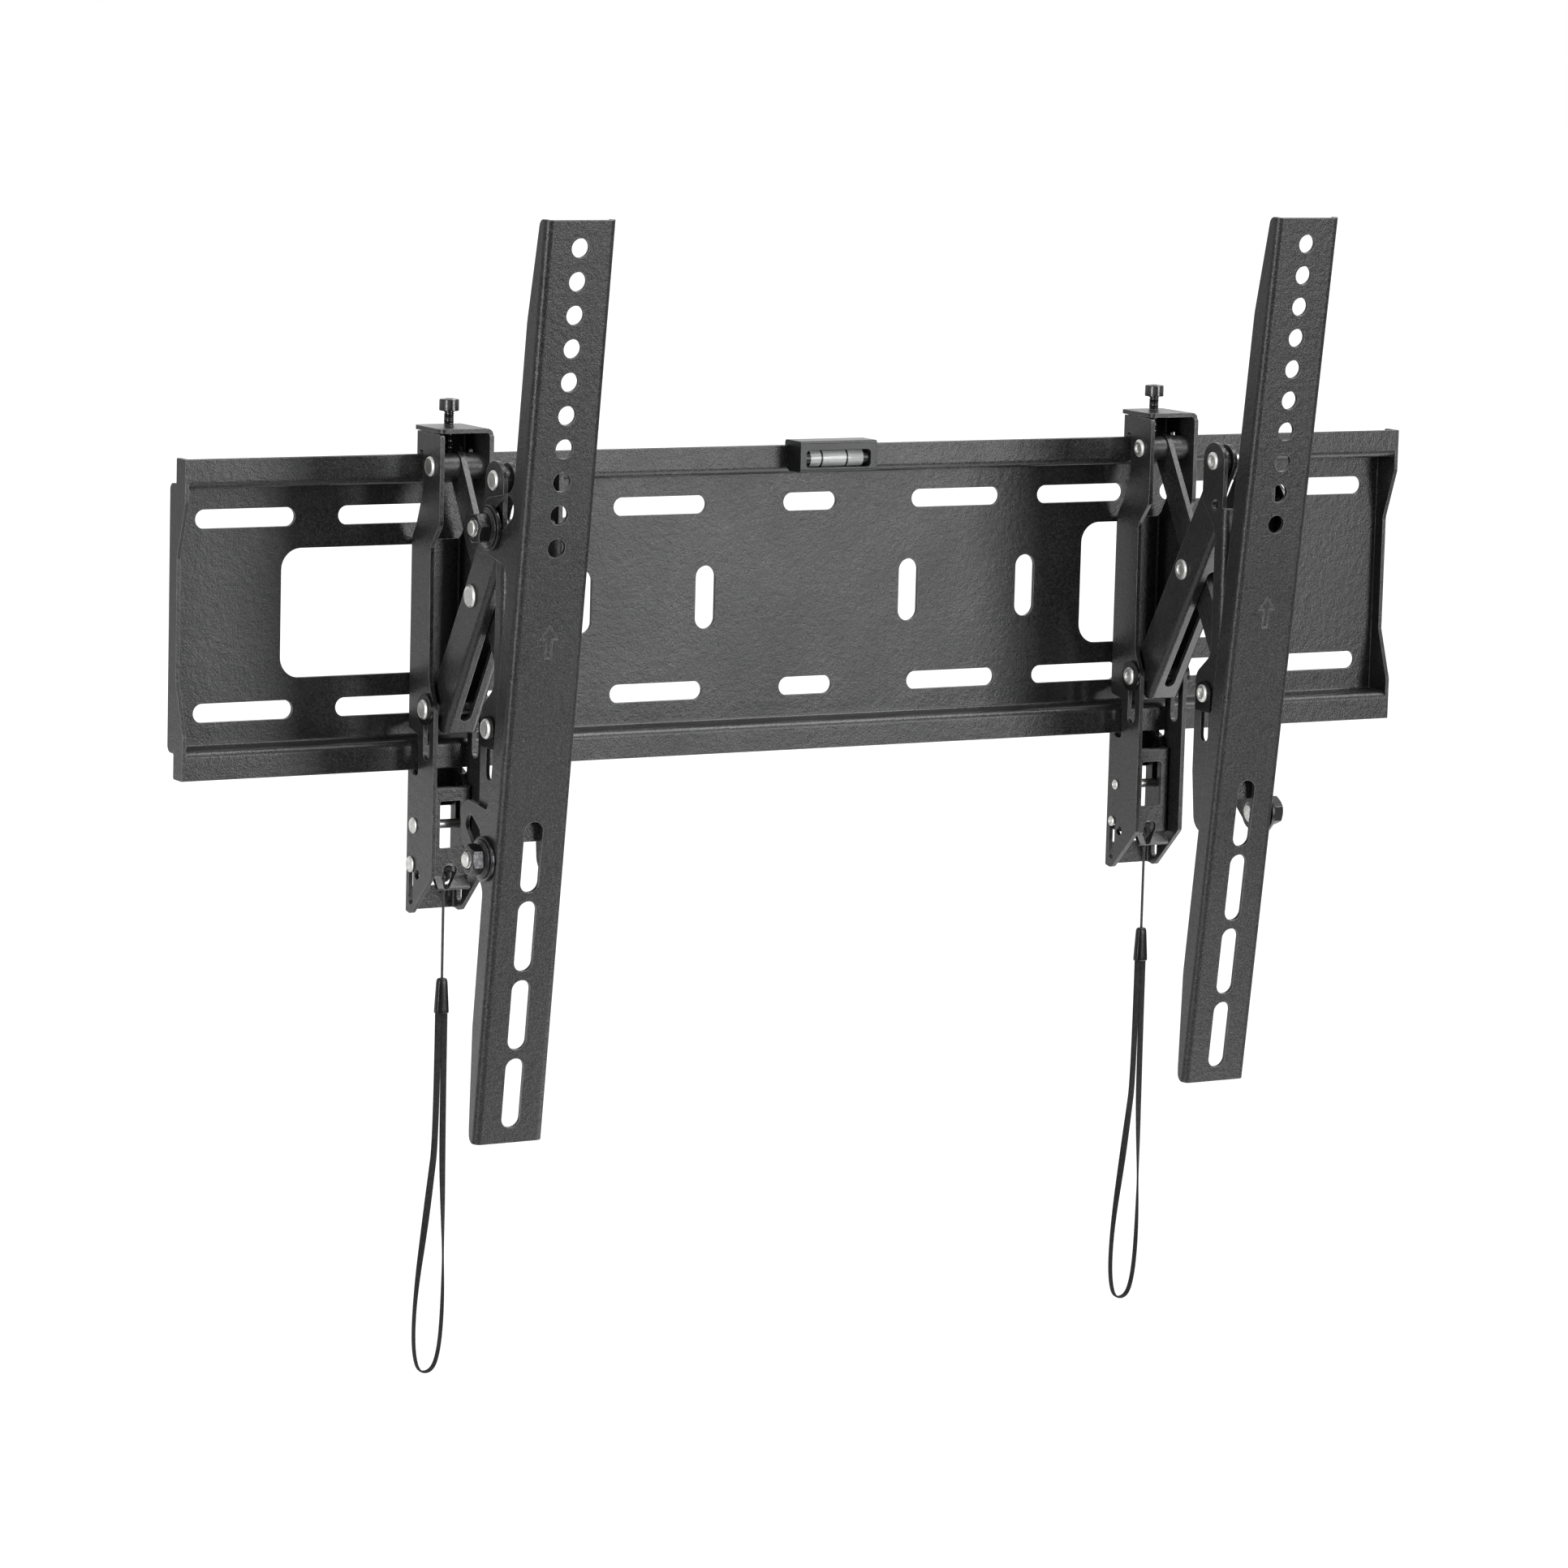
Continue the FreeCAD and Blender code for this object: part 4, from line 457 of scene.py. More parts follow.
class Route:
    """A cord's line: one smooth spline through its own control points."""

    def __init__(self, points: Sequence[Place]) -> None:
        """Make the spline and read its points.

        Args:
            points: Control points, in metres.
        """
        curve = bpy.data.curves.new("route", "CURVE")
        curve.dimensions = "3D"
        curve.resolution_u = 24
        spline = curve.splines.new("NURBS")
        spline.points.add(len(points) - 1)
        for target, point in zip(spline.points, points):
            target.co = (*point, 1.0)
        spline.order_u = 3
        spline.use_endpoint_u = True
        holder = Workshop.object("route", curve)
        graph = bpy.context.evaluated_depsgraph_get()
        line = bpy.data.meshes.new_from_object(holder.evaluated_get(graph))
        self.points = [vertex.co.copy() for vertex in line.vertices]
        bpy.data.meshes.remove(line)
        bpy.data.objects.remove(holder)
        bpy.data.curves.remove(curve)

    @property
    def length(self) -> float:
        """Length of the line, in metres."""
        return sum((b - a).length for a, b in zip(self.points, self.points[1:]))

    def spaced(self, step: float) -> List[Vector]:
        """Points of the line an even step apart, its two ends among them.

        Args:
            step: Distance wanted between points, in metres.

        Returns:
            The points.
        """
        count = max(2, round(self.length / step))
        spacing = self.length / count
        made = [self.points[0].copy()]
        travelled = 0.0
        for start, end in zip(self.points, self.points[1:]):
            run = (end - start).length
            while run > 0 and len(made) < count and travelled + run >= spacing * len(made):
                made.append(start.lerp(end, (spacing * len(made) - travelled) / run))
            travelled += run
        made.append(self.points[-1].copy())
        return made


# Finishes

@dataclass(frozen=True)
class PowderCoat:
    """Satin black powder coat: fine sand over orange peel with a few pale dust specks, and a
    painted highlight along its edges.
    """

    slot: Slot = Slot.POWDER_COAT
    colour: Colour = (0.005, 0.005, 0.0053)
    thin: Colour = (0.019, 0.019, 0.0196)
    # Pale colour of the random dust specks, also used as the painted highlight along the edges.
    dust_and_edge_highlight: Colour = (0.22, 0.22, 0.22)
    grain: float = 0.0008
    peel: float = 0.0032
    cloud: float = 0.045
    dust: float = 0.0004
    # Size of the noise patches that break up the painted edge highlight.
    highlight_noise_size: float = 0.006
    roughness: Tuple[float, float] = (0.26, 0.40)
    relief: float = 0.00011
    edge_radius: float = 0.00045

    def make(self) -> bpy.types.Material:
        """Make the material."""
        desk = MaterialDesk(self.slot.value + "_finish")
        sand = desk.noise(self.grain, 3.0, 0.6)
        peel = desk.noise(self.peel, 2.0)
        cloud = desk.noise(self.cloud, 3.0, 0.6)
        dust = desk.noise(self.dust, 1.0)
        rounded = desk.rounded(self.edge_radius)
        edge = desk.edge(rounded)
        # Painted highlight: the edges, broken into patches by noise, are mixed toward the pale
        # colour where rounded edges would catch light.
        highlight_breakup = desk.span(desk.noise(self.highlight_noise_size, 3.0), 0.35, 0.65, 0.45, 1.0)
        painted_highlight = desk.math("MULTIPLY", edge, highlight_breakup)
        shade = desk.mix(desk.span(sand, 0.42, 0.66, 0.0, 1.0), self.colour, self.thin)
        specks = desk.span(dust, 0.66, 0.76, 0.0, 0.35)
        shade = desk.mix(specks, shade, self.dust_and_edge_highlight)
        shade = desk.mix(desk.math("MULTIPLY", painted_highlight, 0.8), shade, self.dust_and_edge_highlight)
        height = desk.math("ADD", sand, desk.math("MULTIPLY", peel, 1.4))
        gloss = desk.math("ADD", desk.math("MULTIPLY", sand, 0.6),
                          desk.math("MULTIPLY", cloud, 0.4))
        return desk.set(
            Base_Color=shade,
            Roughness=desk.span(gloss, 0.35, 0.65, *self.roughness),
            Normal=desk.bump(height, self.relief, rounded),
            IOR=1.46,
            Specular_IOR_Level=0.42,
        )


@dataclass(frozen=True)
class PlatedSteel:
    """Bare or plated metal with fine turning marks and handling scuffs, and an optional painted
    highlight along its edges.
    """

    slot: Slot
    colour: Colour
    dull: Colour
    roughness: Tuple[float, float] = (0.22, 0.42)
    metallic: float = 1.0
    mark: float = 0.00035
    relief: float = 0.000012
    edge_radius: float = 0.00015
    # Strength and colour of a painted highlight along the edges.
    highlight_strength: float = 0.0
    highlight_colour: Colour = (0.45, 0.45, 0.45)
    blotch: float = 0.0022

    def make(self) -> bpy.types.Material:
        """Make the material."""
        desk = MaterialDesk(self.slot.value + "_finish")
        marks = desk.noise(self.mark, 2.0, 0.6, desk.stretched((1.0, 1.0, 0.25)))
        blotch = desk.noise(self.blotch, 3.0, 0.6)
        rounded = desk.rounded(self.edge_radius)
        share = desk.span(desk.math("ADD", marks, blotch), 0.8, 1.2, 0.0, 1.0)
        # Painted highlight: the edges are mixed toward a pale colour.
        painted_highlight = desk.math("MULTIPLY", desk.edge(rounded), self.highlight_strength)
        return desk.set(
            Base_Color=desk.mix(painted_highlight, desk.mix(share, self.colour, self.dull), self.highlight_colour),
            Metallic=self.metallic,
            Roughness=desk.span(blotch, 0.35, 0.65, *self.roughness),
            Normal=desk.bump(marks, self.relief, rounded),
        )


@dataclass(frozen=True)
class MouldedPlastic:
    """Moulded plastic with a faint spark-eroded skin."""

    slot: Slot
    colour: Colour
    pale: Colour
    roughness: Tuple[float, float] = (0.32, 0.46)
    clear: float = 0.0
    shine: float = 0.5
    relief: float = 0.00002
    skin: float = 0.0005
    flow: float = 0.006
    edge_radius: float = 0.0003

    def make(self) -> bpy.types.Material:
        """Make the material."""
        desk = MaterialDesk(self.slot.value + "_finish")
        skin = desk.noise(self.skin, 2.0, 0.6)
        flow = desk.noise(self.flow, 2.0, 0.5, desk.stretched((0.4, 1.0, 1.0)))
        rounded = desk.rounded(self.edge_radius)
        share = desk.span(desk.math("ADD", skin, flow), 0.8, 1.2, 0.0, 1.0)
        return desk.set(
            Base_Color=desk.mix(share, self.colour, self.pale),
            Roughness=desk.span(skin, 0.3, 0.7, *self.roughness),
            Normal=desk.bump(skin, self.relief, rounded),
            Transmission_Weight=self.clear,
            Specular_IOR_Level=self.shine,
            IOR=1.49,
        )


@dataclass(frozen=True)
class ClearTube:
    """Clear acrylic with a faint drag in its surface."""

    name: str
    colour: Colour = (0.62, 0.64, 0.635)
    ior: float = 1.35
    roughness: Tuple[float, float] = (0.02, 0.07)
    clear: float = 0.6
    drag: float = 0.0012
    relief: float = 0.000004

    def make(self) -> bpy.types.Material:
        """Make the material."""
        desk = MaterialDesk(self.name)
        drag = desk.noise(self.drag, 2.0, 0.5, desk.stretched((0.15, 1.0, 1.0)))
        pale = tuple(min(1.0, c * 1.04) for c in self.colour)
        return desk.set(
            Base_Color=desk.mix(drag, self.colour, pale),
            Roughness=desk.span(drag, 0.3, 0.7, *self.roughness),
            Normal=desk.bump(drag, self.relief),
            Transmission_Weight=self.clear,
            IOR=self.ior,
        )


@dataclass(frozen=True)
class Yarn:
    """Spun or braided black yarn, with a soft sheen and loose fibres."""

    slot: Slot
    colour: Colour
    bright: Colour
    fibre: float = 0.00016
    sheen: float = 0.25
    shine: float = 0.5
    lint: float = 0.0015
    relief: float = 0.00003
    roughness: Tuple[float, float] = (0.62, 0.85)

    def make(self) -> bpy.types.Material:
        """Make the material."""
        desk = MaterialDesk(self.slot.value + "_finish")
        fibres = desk.noise(self.fibre, 3.0, 0.65, desk.stretched((1.0, 1.0, 0.35)))
        lint = desk.noise(self.lint, 2.0)
        share = desk.span(desk.math("ADD", fibres, lint), 0.75, 1.25, 0.0, 1.0)
        return desk.set(
            Base_Color=desk.mix(share, self.colour, self.bright),
            Roughness=desk.span(fibres, 0.3, 0.7, *self.roughness),
            Normal=desk.bump(fibres, self.relief),
            Sheen_Weight=self.sheen,
            Sheen_Roughness=0.4,
            Specular_IOR_Level=self.shine,
        )


class Finishes:
    """Every finish of the bracket, by material slot."""

    def __init__(self) -> None:
        """Make the materials."""
        recipes = [
            PowderCoat(),
            # Its third colour is the dust specks and the painted edge highlight.
            PowderCoat(Slot.BLACK_STEEL, (0.017, 0.017, 0.0175), (0.03, 0.03, 0.03),
                       (0.15, 0.15, 0.15), roughness=(0.3, 0.44), edge_radius=0.0003),
            PlatedSteel(Slot.ZINC, (0.60, 0.60, 0.58), (0.44, 0.44, 0.43), (0.34, 0.5)),
            # Nuts carry a painted highlight along their edges.
            PlatedSteel(Slot.NUT_STEEL, (0.045, 0.045, 0.047), (0.025, 0.025, 0.026),
                        (0.26, 0.38), edge_radius=0.0003, highlight_strength=0.5),
            PlatedSteel(Slot.STACK_WASHER, (0.035, 0.035, 0.036), (0.018, 0.018, 0.019),
                        (0.2, 0.28), 0.7, relief=0.000004),
            PlatedSteel(Slot.BLACK_SCREW, (0.06, 0.06, 0.062), (0.035, 0.035, 0.036),
                        (0.2, 0.28), 0.9, relief=0.000004),
            PlatedSteel(Slot.SPRING_WIRE, (0.5, 0.5, 0.49), (0.3, 0.3, 0.3), (0.2, 0.35)),
            MouldedPlastic(Slot.BLACK_PLASTIC, (0.003, 0.003, 0.003), (0.006, 0.006, 0.006),
                           (0.2, 0.3), shine=0.22),
            MouldedPlastic(Slot.LEVEL_PLASTIC, (0.012, 0.0125, 0.0125), (0.02, 0.021, 0.021),
                           (0.24, 0.36), 0.2, 0.15),
            Yarn(Slot.STRING_BLACK, (0.012, 0.012, 0.012), (0.045, 0.045, 0.045), sheen=0.1,
                 shine=0.3),
            Yarn(Slot.STRAP_BRAID, (0.003, 0.003, 0.0031), (0.014, 0.014, 0.0145),
                 sheen=0.03, shine=0.2),
        ]
        self.by_slot = {recipe.slot.value: recipe.make() for recipe in recipes}
        self.by_slot[Slot.LEVEL_GLASS.value] = ClearTube("level_glass_finish").make()
        bubble = ClearTube("bubble_finish", (0.12, 0.125, 0.125), 1.2, (0.0, 0.05), 0.5)
        self.bubble = bubble.make()

    def of(self, slot: Slot) -> bpy.types.Material:
        """Material of a slot."""
        return self.by_slot[slot.value]

    def dress_nodes(self) -> None:
        """Give every node of the frame the finish that its slot names."""
        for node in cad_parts.values():
            for holder in node.material_slots:
                plain = holder.material.name.split(".")[0]
                holder.material = self.by_slot[plain]
        LOG.info("frame: %d nodes dressed", len(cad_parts))


class Maker:
    """What every sub-assembly shares: finishes, and how a piece is handed to the frame."""

    def __init__(self, finishes: Finishes) -> None:
        """Keep the finishes."""
        self.finishes = finishes

    def hand_over(self, piece: bpy.types.Object, body: str, slot: Slot,
                  replaces: Sequence[str] = (), material: Optional[bpy.types.Material] = None
                  ) -> bpy.types.Object:
        """Dress a piece in its slot's finish, put it under its body and hide the nodes that it
        stands for.

        Args:
            piece: The piece.
            body: Body that carries it.
            slot: Slot of its finish.
            replaces: Nodes that it stands for.
            material: Material used in place of the slot's own.

        Returns:
            The piece.
        """
        piece.data.materials.clear()
        piece.data.materials.append(material or self.finishes.of(slot))
        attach(piece, body)
        if replaces:
            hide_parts(*replaces)
        LOG.info("%s: %d faces on %s", piece.name, len(piece.data.polygons), body)
        return piece


@dataclass
class UnitWork:
    """What the sub-assemblies of an arm unit share."""

    side: Side
    maker: Maker

    def hand_over(self, piece: bpy.types.Object, sharp: float, body: str, slot: Slot,
                  *nodes: str) -> bpy.types.Object:
        """Shade a piece of this unit smooth and hand it to the frame.

        Args:
            piece: The piece.
            sharp: Angle in degrees past which its edges stay sharp.
            body: The unit's body that carries it.
            slot: Slot of its finish.
            nodes: The unit's nodes that it stands for.

        Returns:
            The piece.
        """
        Workshop.polish(piece, sharp)
        return self.maker.hand_over(piece, self.side.name(body), slot,
                                    [self.side.name(node) for node in nodes])


# Studio

@dataclass(frozen=True)
class Lamp:
    """A soft box that faces a point."""

    name: str
    place: Place
    aim: Place
    width: float
    height: float
    watts: float

    def build(self) -> bpy.types.Object:
        """Hang the lamp."""
        data = bpy.data.lights.new(self.name, "AREA")
        data.shape = "RECTANGLE"
        data.size = self.width
        data.size_y = self.height
        data.energy = self.watts
        lamp = Workshop.object(self.name, data)
        towards = Vector(self.aim) - Vector(self.place)
        turn = towards.to_track_quat("-Z", "Y").to_matrix().to_4x4()
        lamp.matrix_world = Matrix.Translation(self.place) @ turn
        lamp.visible_camera = False
        return lamp


@dataclass(frozen=True)
class Viewpoint:
    """Where the photograph was taken from, solved from the bracket's own corners."""

    place: Place = (-1.4626, -2.5453, 0.3338)
    yaw: float = 29.708
    pitch: float = 8.177
    roll: float = -1.498
    lens: float = 137.8
    sensor: float = 36.0
    shift: Tuple[float, float] = (0.0008, -0.0093)

    def build(self) -> bpy.types.Object:
        """Make the camera and look through it."""
        yaw, pitch, roll = (math.radians(a) for a in (self.yaw, self.pitch, self.roll))
        ahead = Vector((math.sin(yaw) * math.cos(pitch), math.cos(yaw) * math.cos(pitch),
                        -math.sin(pitch)))
        right = Vector((math.cos(yaw), -math.sin(yaw), 0.0))
        down = ahead.cross(right)
        level_right = math.cos(roll) * right + math.sin(roll) * down
        level_down = -math.sin(roll) * right + math.cos(roll) * down
        turn = Matrix((level_right, -level_down, -ahead)).transposed().to_4x4()
        data = bpy.data.cameras.new("camera")
        data.sensor_width = self.sensor
        data.lens = self.lens
        data.shift_x, data.shift_y = self.shift
        data.clip_end = 100.0
        camera = Workshop.object("camera", data)
        camera.matrix_world = Matrix.Translation(self.place) @ turn
        bpy.context.scene.camera = camera
        return camera


@dataclass
class Studio:
    """White studio: floor, world, lamps and camera."""

    floor_height: float = -1.05
    floor_size: float = 60.0
    floor_colour: Colour = (0.80, 0.80, 0.80)
    floor_in_gloss: Colour = (0.12, 0.12, 0.12)
    floor_glow: float = 1.2
    shadow_ends: Tuple[float, float] = (1.2, 3.2)
    shadow_shares: Tuple[float, float] = (0.7, 1.0)
    gloss_ends: Tuple[float, float] = (1.8, 3.0)
    gloss_shares: Tuple[float, float] = (1.0, 0.0)
    gloss_front: Tuple[float, float] = (-0.4, 0.6)
    world_light: float = 0.42
    viewpoint: Viewpoint = field(default_factory=Viewpoint)
    lamps: Tuple[Lamp, ...] = (
        Lamp("front_box", (1.33, -2.6, 0.15), (0.0, 0.0, 0.0), 0.8, 1.3, 41.0),
        Lamp("left_box", (-2.4, -1.4, 0.2), (0.0, 0.0, 0.0), 0.4, 2.0, 56.0),
        Lamp("top_box", (1.0, -0.9, 1.9), (0.0, -0.1, 0.0), 1.5, 1.2, 60.0),
        Lamp("back_box", (0.9, 1.7, 0.9), (0.0, 0.0, 0.0), 2.4, 1.1, 4.0),
        Lamp("back_left_box", (-1.7, 1.9, -0.9), (0.0, 0.0, -0.1), 1.8, 0.8, 9.0),
        Lamp("low_box", (0.6, -0.45, -0.95), (0.0, -0.2, 0.0), 1.2, 0.8, 11.0),
    )

    def build(self) -> None:
        """Set the studio up."""
        scene = bpy.context.scene
        scene.view_settings.view_transform = "Standard"
        self.viewpoint.build()
        for lamp in self.lamps:
            lamp.build()
        self.make_world()
        self.make_floor()
        LOG.info("studio: %d lamps", len(self.lamps))

    def make_world(self) -> None:
        """World that is white to the camera, to gloss and to glass, and dimmer as a light."""
        world = bpy.data.worlds.new("studio")
        world.use_nodes = True
        desk = Desk(world.node_tree)
        path = desk.add("ShaderNodeLightPath")
        seen = path.outputs["Is Camera Ray"]
        for name in ("Is Glossy Ray", "Is Transmission Ray"):
            seen = desk.math("MAXIMUM", seen, path.outputs[name])
        level = desk.span(seen, 0.0, 1.0, self.world_light, 1.0)
        desk.feed(desk.find("BACKGROUND"), {"Strength": level, "Color": (1.0, 1.0, 1.0, 1.0)})
        bpy.context.scene.world = world

    def make_floor(self) -> None:
        """Pale floor, far enough below that it keeps the bracket's shadow to itself."""
        half = self.floor_size / 2
        mesh = bpy.data.meshes.new("floor")
        corners = [(-half, -half), (half, -half), (half, half), (-half, half)]
        mesh.from_pydata([(x, y, self.floor_height) for x, y in corners], [], [(0, 1, 2, 3)])
        floor = Workshop.object("floor", mesh)
        desk = MaterialDesk("floor_paper")
        fleck = desk.noise(0.02, 3.0, 0.6)
        pale = tuple(c * 1.03 for c in self.floor_colour)
        path = desk.add("ShaderNodeLightPath")
        paper = desk.mix(fleck, self.floor_colour, pale)
        place = desk.add("ShaderNodeSeparateXYZ", {0: desk.place})
        ahead = desk.span(place.outputs["Y"], *self.gloss_front, 1.0, 0.0)
        dark = desk.math("MULTIPLY", path.outputs["Is Glossy Ray"], ahead)
        desk.set(Base_Color=desk.mix(dark, paper, self.floor_in_gloss), Roughness=0.9)
        glow = desk.add("ShaderNodeEmission", {"Strength": self.floor_glow})
        both = desk.add("ShaderNodeMixShader", {0: self.white_share(desk, path),
                                                1: desk.shader.outputs[0], 2: glow.outputs[0]})
        desk.feed(desk.find("OUTPUT_MATERIAL"), {"Surface": both.outputs[0]})
        mesh.materials.append(desk.material)

    def white_share(self, desk: MaterialDesk, path: bpy.types.Node) -> bpy.types.NodeSocket:
        """Share of plain white in the floor, which leaves the shadow below the bracket.

        Args:
            desk: Desk of the floor's material.
            path: Its light path node.

        Returns:
            The share, for rays of the camera, gloss and glass alone.
        """
        seen = desk.math("MAXIMUM", path.outputs["Is Camera Ray"],
                         path.outputs["Is Transmission Ray"])
        off = desk.add("ShaderNodeVectorMath", {0: desk.place, 1: (1.0, 1.0, 0.0)},
                       operation="MULTIPLY")
        away = desk.add("ShaderNodeVectorMath", {0: off.outputs[0]}, operation="LENGTH")
        share = desk.span(away.outputs["Value"], *self.shadow_ends, *self.shadow_shares)
        gloss = desk.span(away.outputs["Value"], *self.gloss_ends, *self.gloss_shares)
        return desk.math("MAXIMUM", desk.math("MULTIPLY", seen, share),
                         desk.math("MULTIPLY", path.outputs["Is Glossy Ray"], gloss))


# Cords

@dataclass
class PullCord(UnitWork):
    """String, ferrule and strap that pull a unit's latch down."""

    cord_side: float = -4.0
    depth: float = -27.3
    string_top: float = -125.6
    string_bottom: float = -174.0
    string_between: Tuple[float, ...] = (-137.7, -149.8, -161.9)
    string_diameter: float = 1.2
    string_length: float = 48.4
    yarns: int = 3
    yarn_share: float = 0.33
    yarn_off_middle: float = 0.8
    yarn_step: float = 0.22
    yarn_lay: float = 2.6
    ferrule_height: float = 17.0
    ferrule_levels: Tuple[Place, ...] = (
        (0.0, 2.6, 2.2), (-0.12, 3.7, 3.0), (-0.6, 4.7, 3.7), (-1.4, 5.2, 4.1),
        (-3.2, 5.5, 4.3), (-6.5, 5.9, 4.55), (-11.0, 6.5, 4.8), (-15.6, 7.05, 5.0),
        (-16.4, 7.1, 5.05), (-16.85, 6.9, 4.85), (-17.0, 6.4, 4.4),
    )
    strap_width: float = 3.2
    strap_thickness: float = 1.2
    strap_step: float = 0.5
    strap_route: Tuple[Tuple[float, float], ...] = (
        (-1.65, 0.0), (-1.65, -60.0), (-4.2, -82.0), (-7.0, -105.0), (-10.4, -130.0),
        (-11.9, -150.0), (-11.5, -165.0), (-8.7, -174.6), (-1.6, -174.2), (1.7, -165.0),
        (3.2, -148.0), (3.4, -124.0), (2.7, -98.0), (1.65, -64.0), (1.65, 0.0),
    )
    core_wider: float = 0.07
    core_sunk: float = 0.16
    plait_step: float = 1.0
    plait_columns: int = 4
    plait_lean: float = 38.0
    plait_size: Place = (1.25, 0.66, 0.36)
    side_by_side: float = 60.0
    turned_by: float = 150.0
    whipping_offset: float = -6.2
    whipping_height: float = 4.8
    whipping_turns: int = 9
    whipping_thread: float = 0.34
    stopper: Tuple[float, float] = (2.9, -124.3)
    stopper_depth: float = 5.8
    stopper_size: float = 1.2
    stopper_string: float = 1.1

    @property
    def axis(self) -> Vector:
        """The cord's upright line, at height 0, in metres."""
        return Vector((self.side.middle + self.cord_side * MM, self.depth * MM, 0.0))

    def at(self, x: float, z: float) -> Place:
        """Point by its offset from the cord's line, in millimetres."""
        return tuple(self.axis + Vector((x, 0.0, z)) * MM)

    def build(self) -> None:
        ferrule = self.make_ferrule()
        knot = self.make_knot()
        self.make_string([knot, ferrule])
        self.make_strap()

    def make_string(self, pieces: List[bpy.types.Object]) -> None:
        """Three twisted yarns from the latch's lip to the ferrule.

        Args:
            pieces: The pieces on it; not used.
        """
        heights = (self.string_top, *self.string_between, self.string_bottom)
        route = Route([self.at(0, height) for height in heights])
        path = route.spaced(self.yarn_step * MM)
        radius = self.string_diameter * MM * self.yarn_share
        made = []
        for yarn in range(self.yarns):
            line = []
            for k, point in enumerate(path):
                turn = 2 * math.pi * (yarn / self.yarns + k * self.yarn_step / self.yarn_lay)
                out = Vector((math.cos(turn), math.sin(turn), 0.0))
                line.append(point + out * radius * self.yarn_off_middle)
            made.append(Workshop.tube("yarn", line, radius, 7))
        string = Workshop.join(self.side.name("pull_cord_string"), made)
        self.hand_over(string, 60, "latch", Slot.STRING_BLACK, "pull_string")
        self.at(0, self.string_top)
        [tuple(p) for p in route.spaced(2 * MM)]

    def make_knot(self) -> bpy.types.Object:
        """Whipping round the string at the lip's edge, and a stopper knot behind the keyhole.

        Returns:
            The knot.
        """
        bottom = self.string_top + self.whipping_offset - self.whipping_height / 2
        steps = self.whipping_turns * 16
        line = []
        for k in range(steps + 1):
            share = k / steps
            swell = 0.30 + 0.32 * math.sin(math.pi * share) ** 0.6
            turn = 2 * math.pi * self.whipping_turns * share
            spot = Vector(self.at(0.0, bottom + self.whipping_height * share))
            line.append(spot + Vector((math.cos(turn), math.sin(turn), 0.0)) * swell * MM)
        whipping = Workshop.tube("whipping", line, self.whipping_thread * MM, 7)
        middle = Vector(self.at(*self.stopper)) + Vector((0.0, self.stopper_depth * MM, 0.0))
        trefoil = [Vector((math.sin(a) + 2 * math.sin(2 * a), math.sin(3 * a),
                           math.cos(a) - 2 * math.cos(2 * a)))
                   for a in (*Workshop.turn(96), 2 * math.pi)]
        stopper = Workshop.tube("stopper", [middle + self.stopper_size * MM * spot
                                            for spot in trefoil], self.stopper_string * MM, 10)
        knot = Workshop.join(self.side.name("pull_cord_knot"), [whipping, stopper])
        return self.hand_over(knot, 60, "latch", Slot.STRING_BLACK)

    def make_ferrule(self) -> bpy.types.Object:
        """Tapered moulded piece with a domed top and two flat faces.

        Returns:
            The ferrule.
        """
        rings = []
        for height, width, depth in self.ferrule_levels:
            rings.append([Vector(self.at(x, self.string_bottom + height)) + Vector((0, y * MM, 0))
                          for x, y in Workshop.oval(width / 2, depth / 2, 40)])
        ferrule = Workshop.rings(self.side.name("pull_cord_ferrule"), rings)
        return self.hand_over(ferrule, 50, "latch", Slot.BLACK_PLASTIC, "pull_ferrule")

    def strap_turn(self, travelled: float, total: float) -> float:
        """How far the strap's width is turned out of the loop's plane, in radians.

        Args:
            travelled: Length from the strap's start, in millimetres.
            total: Length of the strap.

        Returns:
            The angle, 0 where its two runs lie side by side.
        """
        from_end = min(travelled, total - travelled)
        share = (from_end - self.side_by_side) / (self.turned_by - self.side_by_side)
        share = max(0.0, min(1.0, share))
        eased = share * share * (3 - 2 * share)
        return math.radians(90) * eased

    def make_strap(self) -> None:
        """Flat braid: a woven core with slanting plaits on both faces."""
        bottom = self.string_bottom - self.ferrule_height
        route = Route([self.at(x, bottom + z) for x, z in self.strap_route])
        path = route.spaced(self.strap_step * MM)
        total = route.length / MM
        step = total / (len(path) - 1)
        frames = []
        for k, point in enumerate(path):
            along = Workshop.along(path, k)
            out = Vector((0, 1, 0))
            flat = along.cross(out).normalized()
            turn = Matrix.Rotation(self.strap_turn(k * step, total), 3, along)
            frames.append((point, along, turn @ flat, turn @ out))
        strap = Workshop.join(self.side.name("pull_cord_strap"),
                              [self.strap_core(frames), self.plaits(frames)])
        self.hand_over(strap, 80, "latch", Slot.STRAP_BRAID, "pull_loop")
        self.at(self.strap_route[0][0], bottom)
        route.length
        [tuple(p) for p in route.spaced(2 * MM)]

    def strap_core(self, frames: Sequence[Frame]) -> bpy.types.Object:
        """Body of the strap, a flat oval swept along it.

        Args:
            frames: Frames along the strap.

        Returns:
            The body.
        """
        edge = Workshop.oval(self.strap_width / 2 + self.core_wider,
                             self.strap_thickness / 2 - self.core_sunk, 14)
        rings = [[point + (flat * x + out * y) * MM for x, y in edge]
                 for point, _, flat, out in frames]
        return Workshop.rings("strap_core", rings)

